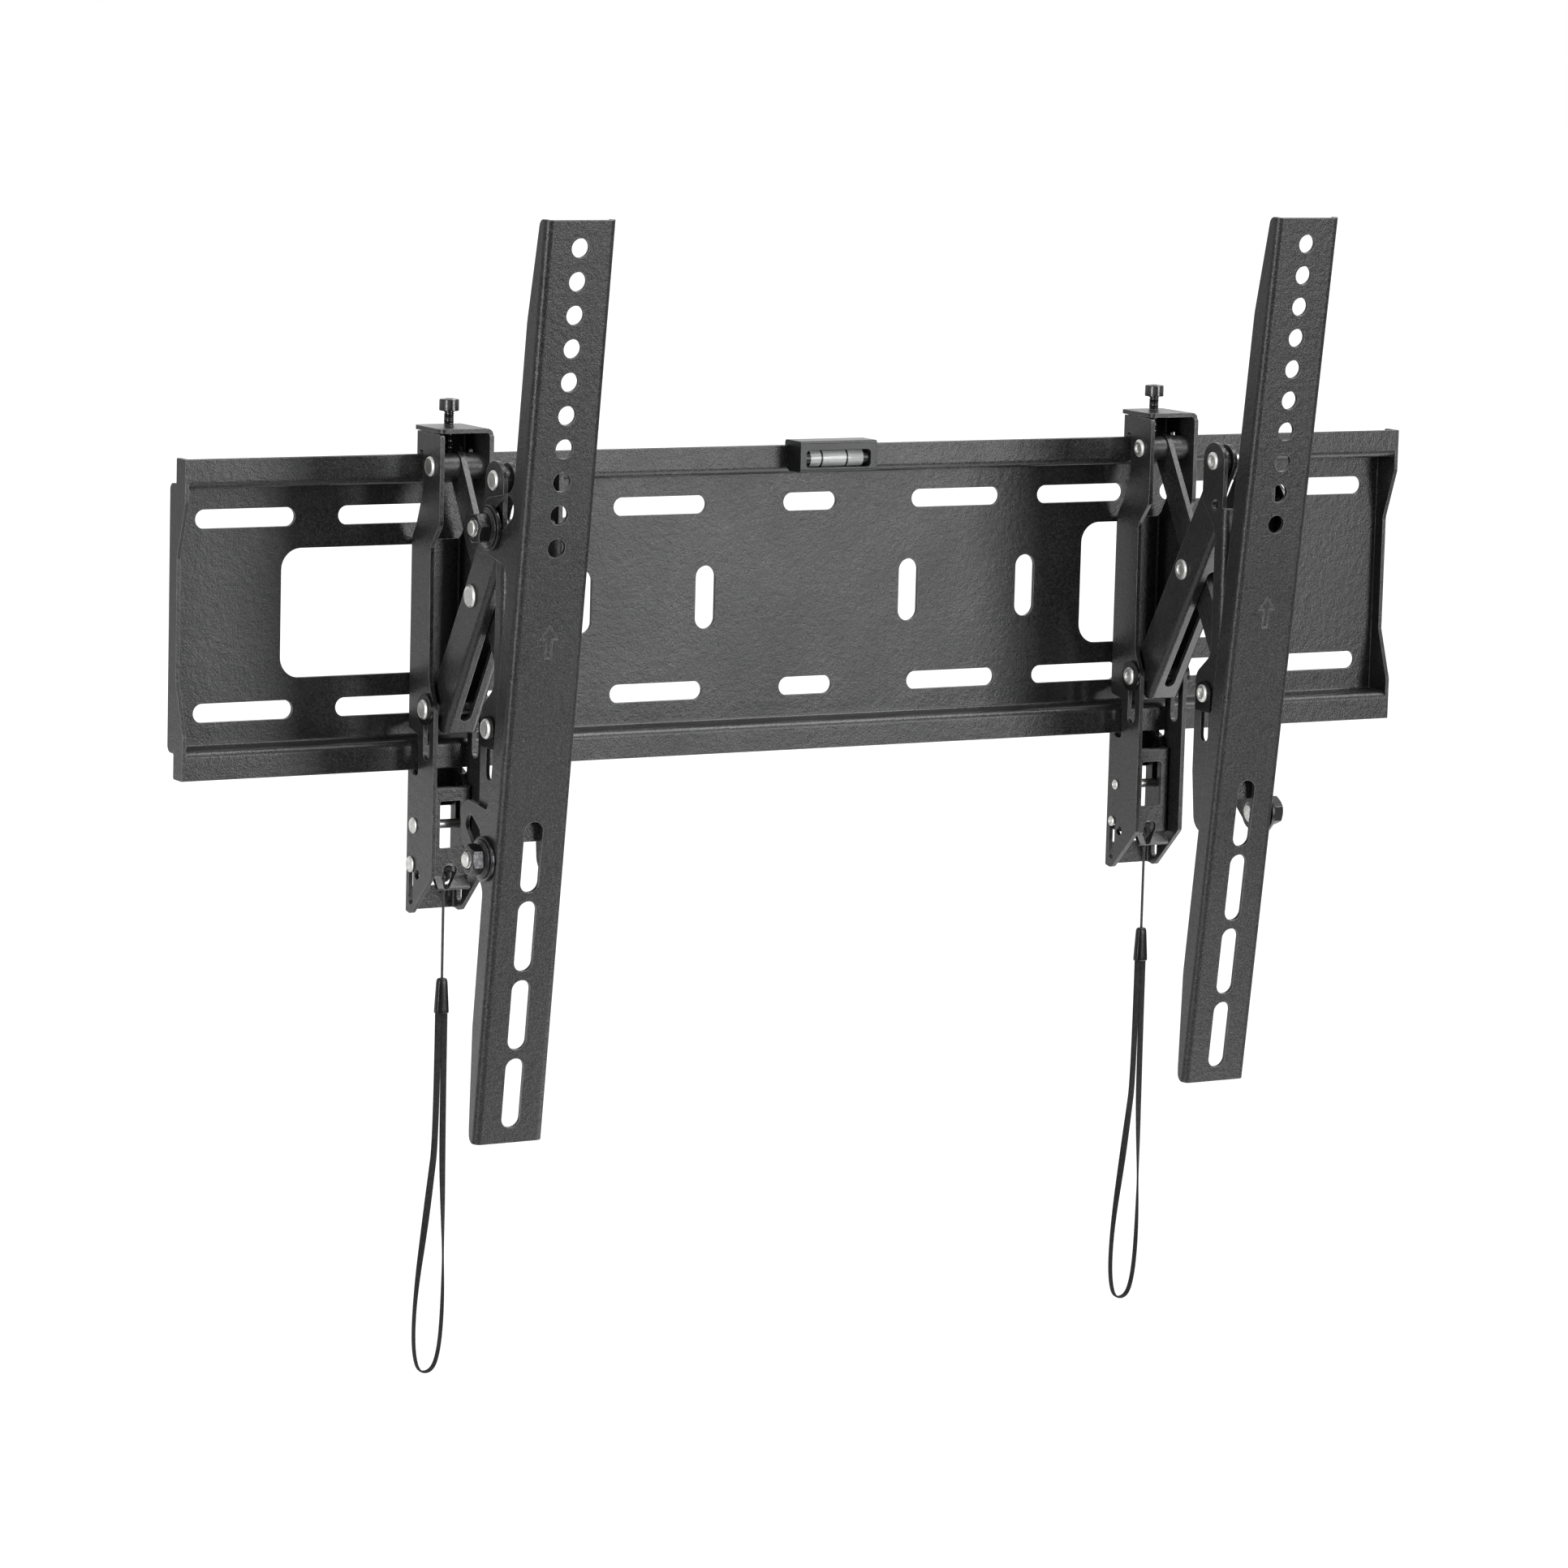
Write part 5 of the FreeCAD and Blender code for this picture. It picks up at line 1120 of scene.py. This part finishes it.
    def plaits(self, frames: Sequence[Frame]) -> bpy.types.Object:
        """Slanting plaits in columns on both faces of the strap.

        Args:
            frames: Frames along the strap.

        Returns:
            The plaits.
        """
        step = round(self.plait_step / self.strap_step)
        spots: List[Vector] = []
        leans: List[Vector] = []
        faces: List[Vector] = []
        half = (self.plait_columns - 1) / 2
        for row in range(1, len(frames) - 1, step):
            for column in range(self.plait_columns):
                shift = (column - half) / self.plait_columns * self.strap_width
                lean = math.radians(self.plait_lean if column % 2 else -self.plait_lean)
                index = min(len(frames) - 1, row + (step // 2 if column % 2 else 0))
                point, along, flat, out = frames[index]
                crown = self.strap_thickness / 2 - 0.2 - 0.12 * abs(column - half) / half
                for face in (1, -1):
                    spots.append(point + (flat * shift + out * crown * face) * MM)
                    leans.append(along * math.cos(lean) + flat * math.sin(lean) * face)
                    faces.append(out * face)
        cloud = bpy.data.meshes.new("plait_spots")
        cloud.from_pydata(spots, [], [])
        for name, vectors in (("lean", leans), ("face", faces)):
            layer = cloud.attributes.new(name, "FLOAT_VECTOR", "POINT")
            layer.data.foreach_set("vector", [c for v in vectors for c in v])
        plaits = Workshop.object("plaits", cloud)
        length, width, height = (size * MM for size in self.plait_size)
        ShapeDesk.run(plaits, plait_tree(), {"Length": length, "Width": width, "Height": height})
        return plaits


@lru_cache(maxsize=None)
def plait_tree() -> bpy.types.NodeTree:
    """Tree that lays one small plait at each point, by its lean and face.

    Returns:
        The tree.
    """
    desk = ShapeDesk("plaits", {"Length": 0.001, "Width": 0.0006, "Height": 0.0004})
    ball = desk.add("GeometryNodeMeshUVSphere", {"Segments": 6, "Rings": 4, "Radius": 0.5})
    size = desk.vector(desk.inputs["Length"], desk.inputs["Width"], desk.inputs["Height"])
    sized = desk.add("GeometryNodeTransform", {"Geometry": ball.outputs[0], "Scale": size})
    lean, face = (desk.reading(name, "FLOAT_VECTOR") for name in ("lean", "face"))
    along = desk.add("FunctionNodeAlignRotationToVector", {"Vector": lean}, axis="X")
    turned = desk.add("FunctionNodeAlignRotationToVector",
                      {"Rotation": along.outputs[0], "Vector": face}, axis="Z", pivot_axis="X")
    laid = desk.add("GeometryNodeInstanceOnPoints",
                    {"Points": desk.inputs["Geometry"], "Instance": sized.outputs[0],
                     "Rotation": turned.outputs[0]})
    return desk.finish(laid.outputs[0])


# Fasteners

@lru_cache(maxsize=None)
def winding_tree() -> bpy.types.NodeTree:
    """Tree that winds a ridge or a wire about Z and joins it to the input mesh.

    Returns:
        The tree.
    """
    desk = ShapeDesk("winding", {"Radius": 0.0021, "Wire": 0.0004, "Turns": 20.0,
                                 "Height": 0.016, "Start": (0.0, 0.0, 0.0),
                                 "Steps": 24, "Sides": 8})
    helix = desk.add("GeometryNodeCurveSpiral",
                     {"Resolution": desk.inputs["Steps"], "Rotations": desk.inputs["Turns"],
                      "Start Radius": desk.inputs["Radius"], "End Radius": desk.inputs["Radius"],
                      "Height": desk.inputs["Height"]})
    wire = desk.add("GeometryNodeCurvePrimitiveCircle",
                    {"Resolution": desk.inputs["Sides"], "Radius": desk.inputs["Wire"]})
    swept = desk.add("GeometryNodeCurveToMesh", {0: helix.outputs[0], 1: wire.outputs[0],
                                                 "Fill Caps": True})
    placed = desk.add("GeometryNodeTransform", {"Geometry": swept.outputs[0],
                                                "Translation": desk.inputs["Start"]})
    return desk.finish(desk.inputs["Geometry"], placed.outputs[0])


@dataclass(frozen=True)
class Thread:
    """A screw's ridge, wound about Z, in millimetres."""

    outer: float
    depth: float
    pitch: float
    start: float
    end: float

    def cut(self, screw: bpy.types.Object) -> None:
        """Wind the ridge onto a screw."""
        turns = (self.end - self.start) / self.pitch
        ShapeDesk.run(screw, winding_tree(), {
            "Radius": (self.outer - self.depth) * MM, "Wire": self.depth * MM, "Turns": turns,
            "Height": self.pitch * turns * MM, "Start": (0.0, 0.0, self.start * MM),
            "Steps": 28, "Sides": 4})


@lru_cache(maxsize=None)
def rivet_tree() -> bpy.types.NodeTree:
    """Tree that sets a rivet's two heads, of which the mesh's islands are one each, on a shank.

    Returns:
        The tree.
    """
    desk = ShapeDesk("rivet", {"Shank": 0.003, "Seat": 0.014, "Place": (0.0, 0.0, 0.0)})
    length = desk.math("MULTIPLY", desk.inputs["Seat"], 2.0)
    shank = desk.add("GeometryNodeMeshCylinder",
                     {"Vertices": 32, "Radius": desk.inputs["Shank"], "Depth": length})
    side = desk.reading("side", "FLOAT")
    out = desk.vector(0.0, 0.0, desk.math("MULTIPLY", side, desk.inputs["Seat"]))
    heads = desk.add("GeometryNodeSetPosition", {"Geometry": desk.inputs["Geometry"],
                                                 "Offset": out})
    both = desk.together(shank.outputs[0], heads.outputs[0])
    turned = desk.add("GeometryNodeTransform",
                      {"Geometry": both, "Rotation": (0.0, math.pi / 2, 0.0),
                       "Translation": desk.inputs["Place"]})
    return desk.finish(turned.outputs[0])


@dataclass(frozen=True)
class Rivet:
    """A pin along X with a formed head on the unit's outer side and a peened one inside."""

    node: str
    body: str
    y: float
    z: float
    seat: float
    shank: float = 3.0
    head: float = 4.8
    height: float = 1.7
    peened: float = 0.97

    def end(self, style: HeadStyle, way: int) -> bpy.types.Object:
        """One end of the rivet, made about Z and standing on height 0.

        Args:
            style: Which end.
            way: The way it faces, up or down.

        Returns:
            The end, which holds its way as an attribute.
        """
        h = self.height
        if style is HeadStyle.FORMED:
            r = self.head
            corners = [(r - 0.1, 0.0), (r, h * 0.18), (r * 0.985, h * 0.5), (r * 0.86, h * 0.9),
                       (r * 0.80, h), (r * 0.74, h * 0.985), (r * 0.70, h * 0.93),
                       (r * 0.3, h * 0.95), (0.02, h * 0.96)]
        else:
            r = self.head * self.peened
            corners = [(r - 0.3, 0.0), (r * 0.97, h * 0.22), (r * 0.93, h * 0.55),
                       (r * 0.74, h * 0.92), (r * 0.60, h), (r * 0.47, h * 0.88),
                       (r * 0.40, h * 0.52), (r * 0.22, h * 0.42), (0.02, h * 0.40)]
        end = Workshop.lathe(style.value, Workshop.fillet(corners, 0.12, 2), 40)
        if way < 0:
            end.data.transform(Matrix.Rotation(math.pi, 4, "X"))
        layer = end.data.attributes.new("side", "FLOAT", "POINT")
        layer.data.foreach_set("value", [float(way)] * len(end.data.vertices))
        return end

    def build(self, side: Side, maker: Maker) -> bpy.types.Object:
        """Make the rivet of one unit.

        Args:
            side: The unit.
            maker: Hands the piece over.

        Returns:
            The rivet.
        """
        ends = [self.end(HeadStyle.FORMED, side.outward),
                self.end(HeadStyle.PEENED, -side.outward)]
        rivet = Workshop.join(side.name(self.node + "_rivet"), ends)
        place = (side.middle, self.y * MM, self.z * MM)
        ShapeDesk.run(rivet, rivet_tree(), {"Shank": self.shank * MM, "Seat": self.seat * MM,
                                            "Place": place})
        return UnitWork(side, maker).hand_over(rivet, 40, self.body, Slot.ZINC, self.node)


RIVETS = (
    Rivet("upper_back_pin", "hook", -26.5, 70.0, 14.02),
    Rivet("latch_guide_pin", "hook", -14.5, -102.0, 14.02, 2.2, 3.9, 1.2, 0.68),
    Rivet("centre_rivet", "inner_arm", -60.907, 12.510, 9.15, head=5.6),
    Rivet("lower_front_pin", "inner_arm", -95.3145, -44.98, 17.07),
    Rivet("lower_back_pin", "outer_arm", -26.5, -44.98, 15.57),
    Rivet("upper_front_pin", "carrier", -95.3145, 70.0, 15.52),
    Rivet("latch_pin", "latch", -12.3, -121.0, 14.15, 2.2, 3.9, 1.2, 0.68),
)


@dataclass
class HeightScrew(UnitWork):
    """Socket screw that stands a unit on the plate's top lip."""

    y: float = -16.0
    tip: float = 75.15
    under_head: float = 95.1
    head_height: float = 5.6
    head_radius: float = 4.7
    shank_radius: float = 2.5
    pitch: float = 0.8
    thread_depth: float = 0.42
    chamfer: float = 0.9
    socket: float = 4.0
    socket_depth: float = 2.6

    def build(self) -> bpy.types.Object:
        """Make the screw."""
        circle, hexagon = Workshop.circle, Workshop.hexagon
        shank, head, low = self.shank_radius, self.head_radius, self.under_head
        core = shank - self.thread_depth
        top = low + self.head_height
        floor = top - self.socket_depth
        start = self.tip + self.chamfer
        rings = [circle(core - self.chamfer, self.tip), circle(core, start),
                 circle(core, low - 0.9), circle(shank, low - 0.5), circle(shank, low),
                 circle(head - 0.15, low), circle(head, low + 0.2), circle(head, top - 0.6),
                 circle(head - 0.1, top - 0.3), circle(head - 0.3, top - 0.1),
                 circle(head - 0.9, top), circle(self.socket * 0.66, top),
                 hexagon(self.socket + 0.3, top - 0.1), hexagon(self.socket, top - 0.3),
                 hexagon(self.socket, floor), circle(0.4, floor - 0.4)]
        screw = Workshop.rings(self.side.name("height_screw_threaded"), rings)
        Thread(shank, 0.4, self.pitch, start, low - 1.2).cut(screw)
        screw.data.transform(Matrix.Translation((self.side.middle, self.y * MM, 0.0)))
        return self.hand_over(screw, 30, "screw", Slot.BLACK_SCREW, "height_screw")


@dataclass
class TiltStack(UnitWork):
    """Bolts, washers and nuts that clamp a rail to its carrier."""

    y: float = -98.0
    heights: Tuple[float, float] = (48.5, -105.3)
    bolt_radius: float = 4.0
    pitch: float = 1.25
    head_face: float = -13.48
    head_height: float = 3.4
    head_radius: float = 5.6
    friction_face: float = 18.15
    friction_radius: float = 10.6
    friction_thickness: float = 2.0
    spring_face: float = 20.17
    spring_radius: float = 9.4
    spring_thickness: float = 1.6
    nut_face: float = 21.79
    nut_flats: float = 13.0
    nut_height: float = 5.5
    plain_end: float = 19.0
    thread_start: float = 20.0
    stud_end: float = 28.89
    spin: Tuple[float, float] = (11.0, 37.0)

    def build(self) -> None:
        """Make the bolts, washers and nuts."""
        self.assemble("tilt_bolts", "bolts", self.bolt, Slot.ZINC)
        self.assemble("tilt_washers", "washer_stacks", self.washers, Slot.STACK_WASHER)
        self.assemble("tilt_nuts", "chamfered_nuts", self.nut, Slot.NUT_STEEL)

    def assemble(self, node: str, name: str, make: Callable[[], bpy.types.Object], slot: Slot
                 ) -> None:
        """Place one made along Z at each of the two bolts.

        Args:
            node: Node that they stand for.
            name: Name of the new piece.
            make: Makes one of them.
            slot: Slot of its finish.
        """
        made = []
        aim = Matrix.Rotation(self.side.outward * math.pi / 2, 4, "Y")
        for height, angle in zip(self.heights, self.spin):
            part = make()
            spin = Matrix.Rotation(math.radians(angle), 4, "Z")
            place = Matrix.Translation((self.side.middle, self.y * MM, height * MM))
            part.data.transform(place @ aim @ spin)
            made.append(part)
        piece = Workshop.join(self.side.name(name), made)
        self.hand_over(piece, 28, "carrier", slot, node)

    def bolt(self) -> bpy.types.Object:
        """Bolt with a low domed head and a threaded, flat-ended stud."""
        face, end, start = -self.head_face, self.stud_end, self.thread_start
        core = self.bolt_radius - 0.62
        back, head = face - self.head_height, self.head_radius
        corners = [(0.05, back), (head * 0.6, back), (head - 0.35, face - 1.9),
                   (head, face - 1.0), (head, face), (self.bolt_radius, face),
                   (self.bolt_radius, self.plain_end), (core, start), (core, end - 0.5),
                   (core - 0.35, end - 0.02), (core - 0.7, end), (0.05, end)]
        bolt = Workshop.lathe("bolt", Workshop.fillet(corners, 0.12, 2))
        Thread(self.bolt_radius, 0.6, self.pitch, start + 0.2, end - 0.75).cut(bolt)
        return bolt

    def washers(self) -> bpy.types.Object:
        """Friction washer and dished spring washer."""
        bore = self.bolt_radius + 0.05
        face, thick = self.friction_face, self.friction_thickness
        wide = self.friction_radius
        soft = [(bore, face), (wide - 0.3, face), (wide, face + 0.3), (wide, face + thick - 0.3),
                (wide - 0.3, face + thick), (bore, face + thick)]
        face, thick = self.spring_face, self.spring_thickness
        wide = self.spring_radius
        flat = self.nut_flats / 2 + 0.6
        dished = [(bore, face), (wide - 0.15, face), (wide, face + 0.2), (wide - 0.1, face + 0.75),
                  (wide - 1.1, face + 1.05), (flat, face + thick), (bore, face + thick)]
        rings = [Workshop.lathe("washer", Workshop.fillet(outline + [outline[0]], 0.3, 3)[:-1],
                                56, joined=True) for outline in (soft, dished)]
        return Workshop.join("washers", rings)

    def nut(self) -> bpy.types.Object:
        """Hexagon nut with arcs where its chamfers meet the flats."""
        hexagon, circle = Workshop.hexagon, Workshop.circle
        low, high = self.nut_face, self.nut_face + self.nut_height
        limit = self.nut_flats / 2 - 0.15
        bore = self.bolt_radius
        under = [Vector((p.x, p.y, 2 * low * MM - p.z))
                 for p in hexagon(self.nut_flats, low, 72, limit, 0.55)]
        rings = [circle(bore + 0.02, low, 72), circle(limit, low, 72), under,
                 hexagon(self.nut_flats, high, 72, limit, 0.55), circle(limit, high, 72),
                 circle(bore + 0.75, high, 72), circle(bore + 0.02, high - 0.7, 72)]
        return Workshop.rings("nut", rings, joined=True)


@dataclass
class LatchSpring(UnitWork):
    """Close-wound pull spring between the latch's two pins."""

    offset: float = -5.0
    y: Tuple[float, float] = (-14.5, -12.3)
    z: Tuple[float, float] = (-102.0, -121.0)
    eye_radius: float = 3.0
    eye_wire: float = 0.5
    loop_turn: float = 330.0
    legs: Tuple[Tuple[float, float], ...] = ((1.0, 4.6), (0.6, 3.9))
    radius: float = 2.6
    wire: float = 0.4
    coil_gap: float = 0.03

    def build(self) -> bpy.types.Object:
        """Make the spring."""
        reach = self.eye_radius + self.eye_wire
        top, bottom = self.z[0] - reach, self.z[1] + reach
        middle = sum(self.y) / 2
        loops = []
        for y, z, way in zip(self.y, self.z, (1, -1)):
            line = [Vector((self.radius * share, middle, z - way * drop)) * MM
                    for share, drop in self.legs]
            for k in range(27):
                angle = math.radians(-90 + self.loop_turn * k / 26)
                line.append(Vector((0.0, y + self.eye_radius * math.cos(angle),
                                    z + way * self.eye_radius * math.sin(angle))) * MM)
            loops.append(Workshop.tube("loop", line, self.eye_wire * 0.85 * MM, 8))
        spring = Workshop.join(self.side.name("latch_spring_coil"), loops)
        ShapeDesk.run(spring, winding_tree(), {
            "Radius": self.radius * MM, "Wire": self.wire * MM, "Height": (top - bottom) * MM,
            "Turns": (top - bottom) / (2 * self.wire + self.coil_gap),
            "Start": (0.0, middle * MM, bottom * MM), "Steps": 24, "Sides": 8})
        spring.data.transform(Matrix.Translation((self.side.middle + self.offset * MM, 0, 0)))
        return self.hand_over(spring, 60, "hook", Slot.SPRING_WIRE, "latch_spring")


# Spirit level

@dataclass
class SpiritLevel:
    """Vial in the moulded holder on the plate's top lip."""

    maker: Maker
    y: float = -23.12
    z: float = 69.0
    radius: float = 4.5
    length: float = 36.0
    rings_at: Tuple[float, float] = (-8.4, 5.7)
    ring_width: float = 0.9
    bubble_length: float = 11.0
    bubble_rise: float = 3.25
    bubble_half_height: float = 1.0
    bubble_half_width: float = 2.3
    cap_length: float = 3.2
    bore_wall: float = 0.12

    def build(self) -> None:
        """Make the tube, its caps, its two rings and the bubble."""
        aim = Matrix.Translation((0.0, self.y * MM, self.z * MM)) @ Matrix.Rotation(
            math.pi / 2, 4, "Y")
        half = self.length / 2
        wall = self.radius - self.bore_wall
        tube = Workshop.lathe("level_vial_tube", Workshop.fillet(
            [(0.05, -half), (wall, -half), (wall, half), (0.05, half)], 0.5), 56)
        bands = [(wall + 0.02, self.radius, way * half, way * (half - self.cap_length))
                 for way in (-1, 1)]
        bands += [(wall + 0.01, self.radius - 0.02, middle - self.ring_width / 2,
                   middle + self.ring_width / 2) for middle in self.rings_at]
        marks = Workshop.join("level_vial_rings", [
            Workshop.lathe("band", [(inner, low), (outer, low), (outer, high), (inner, high)],
                           56, joined=True) for inner, outer, low, high in bands])
        bubble = self.bubble()
        for piece in (tube, marks, bubble):
            piece.data.transform(aim)
            Workshop.polish(piece, 40)
        self.maker.hand_over(tube, "root", Slot.LEVEL_GLASS, ["level_vial"])
        self.maker.hand_over(marks, "root", Slot.BLACK_PLASTIC)
        self.maker.hand_over(bubble, "root", Slot.LEVEL_GLASS, (), self.maker.finishes.bubble)

    def bubble(self) -> bpy.types.Object:
        """Long bubble against the top of the bore, made about Z with up along -X."""
        middle = sum(self.rings_at) / 2
        rings = []
        for k in range(1, 16):
            angle = math.pi * k / 16
            size = math.sin(angle) ** 0.6
            along = middle - math.cos(angle) * self.bubble_length / 2
            rings.append([Vector((-self.bubble_rise - self.bubble_half_height * size * math.cos(a),
                                  self.bubble_half_width * size * math.sin(a), along)) * MM
                          for a in Workshop.turn(24)])
        return Workshop.rings("level_vial_bubble", rings)


# Assembly


def main() -> None:
    """Dress the bracket."""
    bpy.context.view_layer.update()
    Studio().build()
    finishes = Finishes()
    maker = Maker(finishes)
    for side in Side:
        PullCord(side, maker).build()
    finishes.dress_nodes()
    SpiritLevel(maker).build()
    for side in Side:
        for rivet in RIVETS:
            rivet.build(side, maker)
        HeightScrew(side, maker).build()
        TiltStack(side, maker).build()
        LatchSpring(side, maker).build()


if __name__ == "__main__":
    main()
